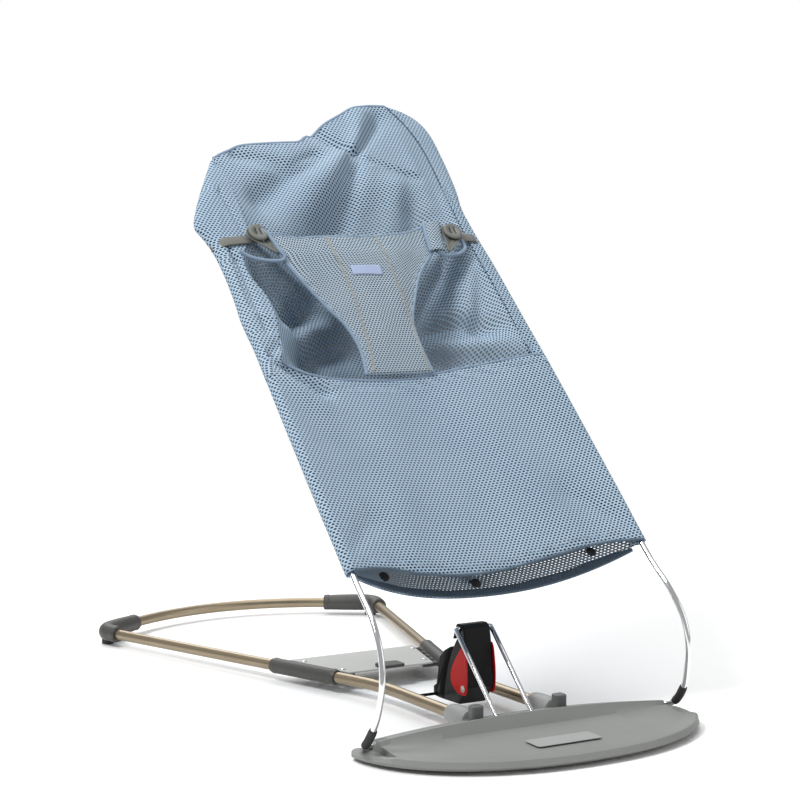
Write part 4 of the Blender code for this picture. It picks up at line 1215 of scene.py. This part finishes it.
WIRE_HEAD = [((p - HEM).x, (p - HEM).dot(SEAT_UP)) for p in WIRE_LINE if (p - HEM).dot(SEAT_UP) > 0.470]


def smoothstep(value):
    held = min(1.0, max(0.0, value))
    return held * held * (3 - 2 * held)


def over_wire(x, s, n, room):
    """Keeps the cloth in front of the head loop, resting on it where it would cut through."""
    near = min(math.hypot(x - wx, s - ws) for wx, ws in WIRE_HEAD)
    reach = WIRE + room
    spread = 0.016
    if near >= spread:
        return n
    return max(n, reach * (1 - (near / spread) ** 2))


def seat_cloth_at(u, v):
    """The seat cloth in x, s and n: u from seam to seam, v from the hem to the top edge."""
    top_x = -0.124 + 0.252 * (u + 1) / 2
    top_s = read(TOP_EDGE, top_x)
    low_s = -0.010 * (1 - u * u)
    s = low_s + (top_s - low_s) * v
    left, right = read(SEAM_LEFT, s), read(SEAM_RIGHT, s)
    x = left + (right - left) * (u + 1) / 2
    lean = smoothstep((v - 0.78) / 0.22)
    x += (top_x - x) * lean * (1 - u**4)
    hang = 1 - abs(u) ** 2.3
    held = min(1.0, 5 * (1 - abs(u)))
    n = read(SEAM_LEVEL, s) - read(SAG, s) * hang
    n += (fold(HEAD_FOLDS, x, s) + SEAT_GAIN * fold(SEAT_FOLDS, x, s)) * held
    if s > LOOP_START:
        n = over_wire(x, s, n, 0.0022)
    return x, s, n


def length_up(s):
    """How much cloth lies between the hem and s along the middle of the hammock."""
    steps = 40
    total = 0.0
    for k in range(steps):
        low, high = s * k / steps, s * (k + 1) / steps
        total += math.hypot(high - low, read(SAG, high) - read(SAG, low))
    return total if s > 0 else s


LENGTHS = [(s, length_up(s)) for s in (0.0, 0.1, 0.2, 0.3, 0.36, 0.40, 0.43, 0.46, 0.49, 0.52, 0.56, 0.66)]


def flat_place(x, s):
    """Where a point of the seat cloth was before the cloth was hung: in metres, without the folds."""
    depth = read(SAG, s)
    reach = abs(x) / 0.155
    extra = 2.0 * depth * depth / (3 * 0.155) * (2 * reach**3 if reach < 1 else 2.0)
    return math.copysign(abs(x) + extra, x), s if s < 0 else read(LENGTHS, s)


def build_seat_cloth():
    columns, lines = 96, 220
    places = [[seat_cloth_at(2 * i / columns - 1, j / lines) for i in range(columns + 1)]
              for j in range(lines + 1)]
    grid = [[seat(*place) for place in row] for row in places]
    flat = [[flat_place(place[0], place[1]) for place in row] for row in places]
    return cloth("seat_cloth", grid, MESH, 0.0008, (OPEN_MESH, lambda i, j: j < 18), flat)


seat_cloth = keep(build_seat_cloth(), "cover", "blue_mesh", "back_panel")
print("seat cloth area", round(half_area(seat_cloth), 4))

# %% [markdown]
# Behind the loop a second layer closes the head into a pocket. It lies against the seat cloth below the
# loop, passes behind the wire and meets the front layer at the top edge under a rolled seam.

# %% Head pocket


def pocket_at(u, v):
    start = 0.800 - 0.030 * u
    x, s, n = seat_cloth_at(u, start + (1 - start) * v)
    top = read(TOP_EDGE, -0.124 + 0.252 * (u + 1) / 2)
    behind = min(n - 0.0035, -(WIRE + 0.0026))
    joined = smoothstep(1 - (top - s) / 0.016)
    return x, s, behind + (n - 0.0016 - behind) * joined


def build_pocket():
    columns, lines = 64, 48
    places = [[pocket_at(2 * i / columns - 1, j / lines) for i in range(columns + 1)]
              for j in range(lines + 1)]
    grid = [[seat(*place) for place in row] for row in places]
    return cloth("head_pocket", grid, MESH, flat=[[(x, s * 1.03) for x, s, n in row] for row in places])


pocket = keep(build_pocket(), "cover", "blue_mesh")

# %% [markdown]
# ## Side sleeves
# Each sleeve is a flat tube round its rail, from the leg opening to the corner of the head. Its front
# strip is sewn to the seat cloth along the inner seam, and its outer edge bulges where it is pulled.

# %% Sleeves
LEFT_SLEEVE = {
    "side": -1, "seam": SEAM_LEFT, "top": 0.553,
    "wire": [(0.457, -0.1545), (0.468, -0.1500), (0.498, -0.1400), (0.522, -0.1260), (0.553, -0.1250)],
    "outer": [(0.236, -0.1705), (0.280, -0.1695), (0.318, -0.1708), (0.349, -0.1682), (0.380, -0.1672),
              (0.414, -0.1690), (0.436, -0.1740), (0.451, -0.1790), (0.470, -0.1720), (0.498, -0.1575),
              (0.538, -0.1345), (0.553, -0.1256)],
    "depth": [(0.236, 0.0066), (0.500, 0.0062), (0.530, 0.0045), (0.553, 0.0015)],
}
RIGHT_SLEEVE = {
    "side": 1, "seam": SEAM_RIGHT, "top": 0.6465,
    "wire": [(0.457, 0.1545), (0.468, 0.1515), (0.498, 0.1520), (0.530, 0.1560), (0.570, 0.1580),
             (0.610, 0.1540), (0.6465, 0.1290)],
    "outer": [(0.236, 0.1688), (0.280, 0.1668), (0.340, 0.1648), (0.390, 0.1634), (0.430, 0.1602),
              (0.459, 0.1592), (0.480, 0.1605), (0.502, 0.1650), (0.530, 0.1680), (0.561, 0.1700),
              (0.602, 0.1700), (0.625, 0.1620), (0.640, 0.1460), (0.6465, 0.1296)],
    "depth": [(0.236, 0.0051), (0.430, 0.0053), (0.500, 0.0060), (0.560, 0.0045), (0.620, 0.0030),
              (0.6465, 0.0015)],
}
SLEEVE_FOLDS = [((-0.168, 0.262), (-0.138, 0.285), 0.004, 0.006, -0.0030),
                ((-0.166, 0.330), (-0.140, 0.318), 0.005, 0.007, 0.0020),
                ((-0.160, 0.395), (-0.156, 0.330), 0.004, 0.005, -0.0022),
                ((-0.166, 0.440), (-0.150, 0.500), 0.006, 0.008, -0.0030),
                ((-0.158, 0.440), (-0.142, 0.520), 0.004, 0.005, 0.0022),
                ((-0.166, 0.452), (-0.150, 0.400), 0.0035, 0.0035, -0.0042),
                ((-0.150, 0.400), (-0.151, 0.300), 0.0035, 0.0030, -0.0034),
                ((-0.141, 0.545), (-0.129, 0.440), 0.0022, 0.0022, -0.0022),
                ((0.160, 0.266), (0.150, 0.286), 0.004, 0.005, -0.0025),
                ((0.160, 0.450), (0.152, 0.500), 0.005, 0.008, -0.0020)]


def sleeve_line(shape, s):
    """One turn of the sleeve: the front strip from the seam, round the outside and back."""
    seam, outer, depth = read(shape["seam"], s), read(shape["outer"], s), read(shape["depth"], s)
    wire = shape["side"] * rail(s) if s < 0.457 else read(shape["wire"], s)
    level = read(SEAM_LEVEL, s)
    pocketed = smoothstep((s - 0.455) / 0.020) * smoothstep((shape["top"] - s) / 0.016)
    rear = level - 0.0030 + (-(WIRE + 0.0026) - level + 0.0030) * pocketed
    line = []
    for k in range(14):
        t = k / 14
        x = seam + (wire - seam) * t
        line.append((x, level + 0.0012 + (depth - level - 0.0012) * smoothstep(t) + fold(SLEEVE_FOLDS, x, s)))
    for k in range(13):
        turn = math.radians(90 - 15 * k)
        line.append((wire + (outer - wire) * math.cos(turn), depth * math.sin(turn)))
    for k in range(7):
        t = (k + 1) / 7
        line.append((wire + (seam - wire) * t, -depth + (rear + depth) * smoothstep(t)))
    return line


def build_sleeve_cloth(name, shape):
    count = 110
    low = 0.240
    grid, flat = [], []
    for k in range(count + 1):
        s = low + (shape["top"] - 0.0008 - low) * k / count
        line = sleeve_line(shape, s)
        grid.append([seat(x, s, n) for x, n in line])
        across = [line[0][0]]
        for (x0, n0), (x1, n1) in zip(line, line[1:]):
            across.append(across[-1] + shape["side"] * math.hypot(x1 - x0, n1 - n0))
        flat.append([(x, s) for x in across])
    return cloth(name, grid, MESH, flat=flat)


left_sleeve = keep(build_sleeve_cloth("sleeve_left", LEFT_SLEEVE),
                   "cover", "blue_mesh", "side_sleeve_left")
right_sleeve = keep(build_sleeve_cloth("sleeve_right", RIGHT_SLEEVE),
                    "cover", "blue_mesh", "side_sleeve_right")
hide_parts("head_sleeve")
print("sleeve areas", round(half_area(left_sleeve), 4), round(half_area(right_sleeve), 4))

# %% Rolled top edge and hem band
top_line = [seat(x, s, n - 0.0008) for x, s, n in (seat_cloth_at(2 * k / 120 - 1, 1.0) for k in range(121))]
keep(bar("top_roll", top_line, 0.0020, PIPING, 12), "cover", "blue_mesh")


def build_hem_band():
    grid = []
    for j in range(9):
        row = []
        for i in range(81):
            u = 2 * i / 80 - 1
            x, s, n = seat_cloth_at(u, 0.0150 * (1 - 0.7 * u**6) * j / 8)
            row.append(seat(x, s, n))
        grid.append(row)
    return cloth("rear_hem_band", grid, HEM_CLOTH, 0.0030)


keep(build_hem_band(), "cover", "blue_mesh")
hem_line = [panel_point(2 * k / 100 - 1, 0.0, -0.0002) for k in range(101)]
keep(bar("front_hem_roll", hem_line, 0.0013, HEM_CLOTH, 10), "cover", "blue_mesh")
edge_line = [panel_point(2 * k / 100 - 1, 1.0, 0.0002) for k in range(101)]
keep(bar("opening_edge_roll", edge_line, 0.0014, PIPING, 10), "cover", "blue_mesh")

# %% [markdown]
# ## The harness
# A padded bib rises from the leg openings, widens like a pair of shorts and buttons to both side straps.
# Its knit is finer and paler than the cover's, it has a piped edge and two rows of beige stitching.

# %% Harness cloth
ROOT_S, ROOT_N, TOP_N, RISE_END = 0.2475, -0.0085, 0.0125, 0.150
BIB_LEFT = [(0.000, -0.0500), (0.035, -0.0475), (0.066, -0.0545), (0.089, -0.0680), (0.130, -0.0885),
            (0.150, -0.0980), (0.172, -0.1080), (0.188, -0.1150)]
BIB_RIGHT = [(0.000, 0.0285), (0.035, 0.0255), (0.066, 0.0265), (0.089, 0.0350), (0.130, 0.0570),
             (0.150, 0.0800), (0.165, 0.1020), (0.188, 0.1130)]
BIB_HEIGHT = 0.190
BIB_TOP = [(-0.120, 0.1880), (-0.100, 0.1780), (-0.048, 0.1755), (0.019, 0.1755), (0.054, 0.1790),
           (0.087, 0.1900), (0.113, 0.1930)]
BIB_FOLDS = [((-0.100, 0.180), (-0.080, 0.120), 0.008, 0.010, 0.0030),
             ((-0.070, 0.180), (-0.055, 0.110), 0.010, 0.014, -0.0020),
             ((0.080, 0.190), (0.055, 0.110), 0.010, 0.014, -0.0020),
             ((0.040, 0.180), (0.020, 0.080), 0.014, 0.016, 0.0018),
             ((-0.020, 0.180), (-0.012, 0.050), 0.016, 0.018, 0.0015)]


def bib_point(u, v, lift=0.0):
    reach = BIB_HEIGHT * v
    left, right = read(BIB_LEFT, reach), read(BIB_RIGHT, reach)
    x = left + (right - left) * (u + 1) / 2
    t = reach * read(BIB_TOP, x) / BIB_HEIGHT
    rise = ROOT_N + (TOP_N - ROOT_N) * min(1.0, t / RISE_END)
    crown = 0.0035 * (1 - u * u) * math.sin(math.pi * min(1.0, t / 0.2))
    return seat(x, ROOT_S + t, rise + crown + fold(BIB_FOLDS, x, t) * (1 - u**4) + lift)


bib_grid = [[bib_point(2 * i / 56 - 1, j / 56) for i in range(57)] for j in range(57)]
bib = keep(cloth("harness_cloth", bib_grid, BIB_MESH, 0.0024), "harness", "pale_mesh", "harness_panel")
outline = [bib_point(-1, k / 60) for k in range(61)] + [bib_point(2 * k / 60 - 1, 1) for k in range(1, 60)]
outline += [bib_point(1, 1 - k / 60) for k in range(61)]
keep(bar("harness_piping", outline, 0.0019, PIPING, 12), "harness", "pale_mesh")
print("harness area", round(half_area(bib), 4))

# %% [markdown]
# ## Stitches by Geometry Nodes
# A seam is a short thread repeated along a line. The tree walks a curve in equal steps and lays one small
# capsule at each step, turned along the curve, so every seam only needs its line.

# %% The stitch tree


def stitch_tree():
    tree = bpy.data.node_groups.new("stitches_along_curve", "GeometryNodeTree")
    tree.interface.new_socket("Geometry", in_out="INPUT", socket_type="NodeSocketGeometry")
    for name in ("Pitch", "Stitch Length", "Thickness"):
        tree.interface.new_socket(name, in_out="INPUT", socket_type="NodeSocketFloat")
    tree.interface.new_socket("Finish", in_out="INPUT", socket_type="NodeSocketMaterial")
    tree.interface.new_socket("Geometry", in_out="OUTPUT", socket_type="NodeSocketGeometry")
    new, link = tree.nodes.new, tree.links.new
    start, end = new("NodeGroupInput"), new("NodeGroupOutput")
    walk = new("GeometryNodeResampleCurve")
    walk.mode = "LENGTH"
    capsule = new("GeometryNodeMeshUVSphere")
    capsule.inputs["Segments"].default_value = 6
    capsule.inputs["Rings"].default_value = 4
    scale, stretch = new("ShaderNodeCombineXYZ"), new("GeometryNodeTransform")
    tangent, turn = new("GeometryNodeInputTangent"), new("FunctionNodeAlignRotationToVector")
    turn.axis = "Z"
    spread = new("GeometryNodeInstanceOnPoints")
    real, paint = new("GeometryNodeRealizeInstances"), new("GeometryNodeSetMaterial")
    link(start.outputs["Geometry"], walk.inputs["Curve"])
    link(start.outputs["Pitch"], walk.inputs["Length"])
    link(start.outputs["Thickness"], scale.inputs["X"])
    link(start.outputs["Thickness"], scale.inputs["Y"])
    link(start.outputs["Stitch Length"], scale.inputs["Z"])
    link(capsule.outputs["Mesh"], stretch.inputs["Geometry"])
    link(scale.outputs["Vector"], stretch.inputs["Scale"])
    link(tangent.outputs["Tangent"], turn.inputs["Vector"])
    link(walk.outputs["Curve"], spread.inputs["Points"])
    link(stretch.outputs["Geometry"], spread.inputs["Instance"])
    link(turn.outputs["Rotation"], spread.inputs["Rotation"])
    link(spread.outputs["Instances"], real.inputs["Geometry"])
    link(real.outputs["Geometry"], paint.inputs["Geometry"])
    link(start.outputs["Finish"], paint.inputs["Material"])
    link(paint.outputs["Geometry"], end.inputs["Geometry"])
    return tree


STITCH_TREE = stitch_tree()


def stitches(name, path, finish, pitch=0.0034, length=0.0026, thickness=0.00085):
    made = run_tree(name, polyline(f"{name}_line", path), STITCH_TREE, Pitch=pitch, Stitch_Length=length / 2,
                    Thickness=thickness / 2, Finish=finish.material)
    made.data.shade_smooth()
    return made


# %% Harness seams
BIB_SEAMS = {"left": [(0.0, -0.0425), (0.0165, -0.0385), (0.0645, -0.0360), (0.1235, -0.0365),
                      (0.190, -0.0415)],
             "right": [(0.0, 0.0245), (0.0135, 0.0245), (0.0625, 0.0240), (0.1145, 0.0225),
                       (0.190, 0.0200)]}


def bib_line(route, aside, lift):
    line = []
    for k in range(61):
        v = 0.01 + 0.98 * k / 60
        reach = BIB_HEIGHT * v
        left, right = read(BIB_LEFT, reach), read(BIB_RIGHT, reach)
        u = 2 * (read(route, reach) + aside - left) / (right - left) - 1
        line.append(bib_point(u, v, lift))
    return line


for name, route in BIB_SEAMS.items():
    tape = [[a, b] for a, b in zip(bib_line(route, -0.0012, 0.0013), bib_line(route, 0.0012, 0.0013))]
    keep(cloth(f"seam_tape_{name}", tape, TAPE, 0.0006), "harness", "pale_mesh")
    for edge, aside in (("a", -0.0010), ("b", 0.0010)):
        keep(stitches(f"bib_stitch_{name}_{edge}", bib_line(route, aside, 0.0019), BEIGE),
             "harness", "webbing")
for name, u in (("left", -0.93), ("right", 0.93)):
    line = [bib_point(u, 0.03 + 0.92 * k / 60, 0.0013) for k in range(61)]
    keep(stitches(f"edge_stitch_{name}", line, THREAD), "harness", "pale_mesh")

# %% Cover seams
for row, v in enumerate((0.972, 0.957, 0.942)):
    line = [panel_point(2 * k / 120 - 1, v, 0.0007) for k in range(4, 117)]
    keep(stitches(f"opening_stitch_{row}", line, THREAD), "cover", "blue_mesh")
line = [panel_point(2 * k / 120 - 1, 0.035, 0.0007) for k in range(3, 118)]
keep(stitches("hem_stitch", line, THREAD), "cover", "blue_mesh")
for name, shape in (("left", LEFT_SLEEVE), ("right", RIGHT_SLEEVE)):
    line = []
    for k in range(91):
        s = 0.262 + (shape["top"] - 0.270) * k / 90
        x, n = sleeve_line(shape, s)[2]
        line.append(seat(x, s, n + 0.0008))
    keep(stitches(f"sleeve_stitch_{name}", line, THREAD), "cover", "blue_mesh")
pocket_seam = [seat_cloth_at(0.22 + 0.50 * k / 40, 0.885 - 0.060 * k / 40) for k in range(41)]
line = [seat(x, s, n + 0.0009) for x, s, n in pocket_seam]
keep(stitches("pocket_stitch", line, THREAD), "cover", "blue_mesh")
print("seams sewn")

# %% [markdown]
# ## Straps, buttons and label
# The side straps are woven webbing. A grey button with two slots stands on a stem that slides in the
# keyhole of a drop-shaped plate, and a small plain woven label is sewn to the bib.

# %% Webbing finish and straps


def webbing_finish():
    finish = Finish("grey_webbing", (0.36, 0.355, 0.33), 0.75)
    u, v = finish.uv()
    ribs = (v * (2 * math.pi / 0.0011)).wave()
    picks = (u * (2 * math.pi / 0.0016) + (v / 0.0011).floor() * math.pi).wave()
    finish.set("Base Color", finish.blend((ribs * 0.3 + picks * 0.3 + 0.5).limit(), (0.110, 0.110, 0.098),
                                          (0.235, 0.235, 0.215)))
    return finish.bump(ribs * 0.6 + picks, 0.0002, 0.7).material


WEBBING = webbing_finish()
STRAP_S, STRAP_HALF = 0.427, 0.0055


def strap_row(side, t):
    """Across the strap at t, from under the button, t = 0, to the sleeve's outer edge, t = 1."""
    outer = 0.1715 if side < 0 else 0.1620
    x = 0.1120 + (outer - 0.1120) * t
    drop = (0.006 if side < 0 else 0.002) * t
    fall = smoothstep((t - 0.72) / 0.28)
    n = 0.0082 + 0.0008 * math.sin(math.pi * t) - 0.0075 * fall
    return [seat(side * x, STRAP_S - drop + STRAP_HALF * k / 3, n + 0.0003 * math.cos(k * math.pi / 3))
            for k in range(-3, 4)]


for side, name in SIDES:
    grid = [strap_row(side, k / 24) for k in range(25)]
    keep(cloth(f"side_strap_{name}", grid, WEBBING, 0.0013), "cover", "webbing", f"strap_{name}")

# %% Keyhole plates and buttons
PLATE_LOW_N = TOP_N + 0.0014
STUD_X, STUD_TRAVEL = 0.1195, 0.008


def flat_prism(name, outline, low, high, material, edge, segments=3):
    """A plate lying in the seat plane, given its outline in x and s."""
    made = loft(name, [[seat(x, s, n) for x, s in outline] for n in (low, high)], material)
    return rounded(made, edge, segments) if edge else made


def keyhole_outline(side, radius, length, tip):
    at = Vector((side * STUD_X, STRAP_S))
    towards = Vector((side * -0.459, -0.888))
    aside = Vector((towards.y, -towards.x))
    turns = [math.pi * k / 20 for k in range(21)]
    outline = [at + radius * (math.cos(t) * aside - math.sin(t) * towards) for t in turns]
    end = at + towards * length
    outline += [end + tip * (math.cos(t + math.pi) * aside - math.sin(t + math.pi) * towards)
                for t in [math.pi * k / 10 for k in range(11)]]
    return [(p.x, p.y) for p in outline]


for side, name in SIDES:
    plate_low, plate_high = PLATE_LOW_N, PLATE_LOW_N + 0.0020
    key = flat_prism(f"keyhole_{name}", keyhole_outline(side, 0.0128, 0.0285, 0.0026), plate_low, plate_high,
                     BUCKLE, 0.0006)
    settle(key)
    cut(key, flat_prism("hole", keyhole_outline(side, 0.0028, STUD_TRAVEL + 0.001, 0.0028), plate_low - 0.01,
                        plate_high + 0.01, None, 0.0))
    cut(key, flat_prism("recess", keyhole_outline(side, 0.0102, 0.0240, 0.0012), plate_high - 0.0006,
                        plate_high + 0.01, None, 0.0))
    keep(key, "harness", "buckle_plastic", f"keyhole_plate_{name}")

    centre = seat(side * STUD_X, STRAP_S)
    shape = [(0.0091, 0.0022), (plate_high + 0.0004, 0.0022), (plate_high + 0.0004, 0.0098),
             (plate_high + 0.0009, 0.0110), (plate_high + 0.0019, 0.0114), (plate_high + 0.0030, 0.0108),
             (plate_high + 0.0036, 0.0094), (plate_high + 0.0033, 0.0078), (plate_high + 0.0030, 0.0010)]
    sections = []
    for n, radius in shape:
        turns = [2 * math.pi * k / 40 for k in range(40)]
        sections.append([seat(side * STUD_X + radius * math.cos(t), STRAP_S + radius * math.sin(t), n)
                         for t in turns])
    button = loft(f"button_{name}", sections, BUCKLE)
    for k in (-1, 1):
        slot = [(side * STUD_X + k * 0.0026 + a, STRAP_S + b)
                for a, b in box_outline(-0.0010, -0.0042, 0.0010, 0.0042, 0.0009, 3)]
        cut(button, flat_prism("slot", slot, plate_high + 0.0012, plate_high + 0.01, None, 0.0))
    keep(button, f"stud_{name}", "buckle_plastic", f"button_stud_{name}")

# %% Piping round the plates and the folded tab
CURLS = {"left": [(-0.1463, 0.4048, 0.0120), (-0.1352, 0.3967, 0.0112), (-0.1200, 0.3922, 0.0112),
                  (-0.1043, 0.3903, 0.0130), (-0.1000, 0.3935, 0.0160), (-0.1035, 0.4010, 0.0172),
                  (-0.1065, 0.4140, 0.0178), (-0.1110, 0.4270, 0.0176), (-0.1190, 0.4330, 0.0165),
                  (-0.1310, 0.4260, 0.0135)],
         "right": [(0.1300, 0.4180, 0.0120), (0.1305, 0.4075, 0.0108), (0.1210, 0.4005, 0.0104),
                   (0.1100, 0.3975, 0.0108), (0.0975, 0.3960, 0.0125), (0.0890, 0.3990, 0.0150)]}
for name, curl in CURLS.items():
    line = smooth([seat(x, s, n) for x, s, n in curl], 8)
    keep(bar(f"plate_piping_{name}", line, 0.0021, PIPING, 12), "harness", "pale_mesh")
TAB_NEAR = [(0.0, 0.0805), (0.5, 0.0835), (1.0, 0.0885)]
TAB_FAR = [(0.0, 0.0975), (0.5, 0.1020), (1.0, 0.1085)]
TAB_LOW, TAB_HIGH = 0.3990, 0.4405


def tab_point(a, t):
    near, far = read(TAB_NEAR, t), read(TAB_FAR, t)
    x = near + (far - near) * a
    return seat(x, TAB_LOW + (TAB_HIGH - TAB_LOW) * t, 0.0162 + 0.0022 * math.sin(math.pi * a))


grid = [[tab_point(i / 10, j / 20) for i in range(11)] for j in range(21)]
keep(cloth("harness_tab", grid, BIB_MESH, 0.0020), "harness", "pale_mesh")
tab_edge = [tab_point(0.0, j / 20) for j in range(21)]
keep(bar("tab_piping", tab_edge, 0.0019, PIPING, 12), "harness", "pale_mesh")

# %% Woven label


def label_finish():
    finish = Finish("label", (0.36, 0.43, 0.62), 0.6)
    u, v = finish.uv()
    threads = (v * (2 * math.pi / 0.0006)).wave() * (u * (2 * math.pi / 0.0009)).wave()
    finish.set("Base Color", finish.blend((threads * 0.5 + 0.5).limit(),
                                          (0.28, 0.35, 0.54), (0.42, 0.49, 0.68)))
    return finish.bump(threads, 0.0001, 0.6).material


LABEL = label_finish()
LABEL_X, LABEL_REACH, LABEL_WIDTH, LABEL_HEIGHT = -0.009, 0.126, 0.037, 0.0120


def label_point(a, b):
    reach = (LABEL_REACH + b) / read(BIB_TOP, LABEL_X + a) * BIB_HEIGHT
    left, right = read(BIB_LEFT, reach), read(BIB_RIGHT, reach)
    return bib_point(2 * (LABEL_X + a - left) / (right - left) - 1, reach / BIB_HEIGHT, 0.0017)


grid = [[label_point(LABEL_WIDTH * (i / 16 - 0.5), LABEL_HEIGHT * (j / 8 - 0.5)) for i in range(17)]
        for j in range(9)]
keep(cloth("woven_label", grid, LABEL, 0.0006), "harness", "label", "harness_label")

# %% Press studs at the hem
PRESS_V, PRESS_RADIUS, PRESS_HEIGHT = 0.030, 0.0055, 0.0018
for name, u in (("left", -0.730), ("middle", -0.035), ("right", 0.780)):
    x, s, n = seat_cloth_at(u, PRESS_V)
    centre = [seat(x, s, n + 0.0016)]
    stud = heads(f"press_stud_{name}", centre, PRESS_RADIUS, PRESS_HEIGHT, math.radians(45), RUBBER)
    keep(stud, "cover", "black_rubber", f"hem_stud_{name}")

# %% Finishes for the frame's own solids
own_finishes = [("bottom_cover", DARK_GREY), ("caution_panel", SOCKET_GREY)]
own_finishes += [(f"foot_pad_{k}", RUBBER) for k in range(1, 5)]
own_finishes += [(f"cover_screw_{k}", STEEL) for k in range(1, 5)]
for node, material in own_finishes:
    solid = bpy.data.objects[node]
    solid.data.materials.clear()
    solid.data.materials.append(material)
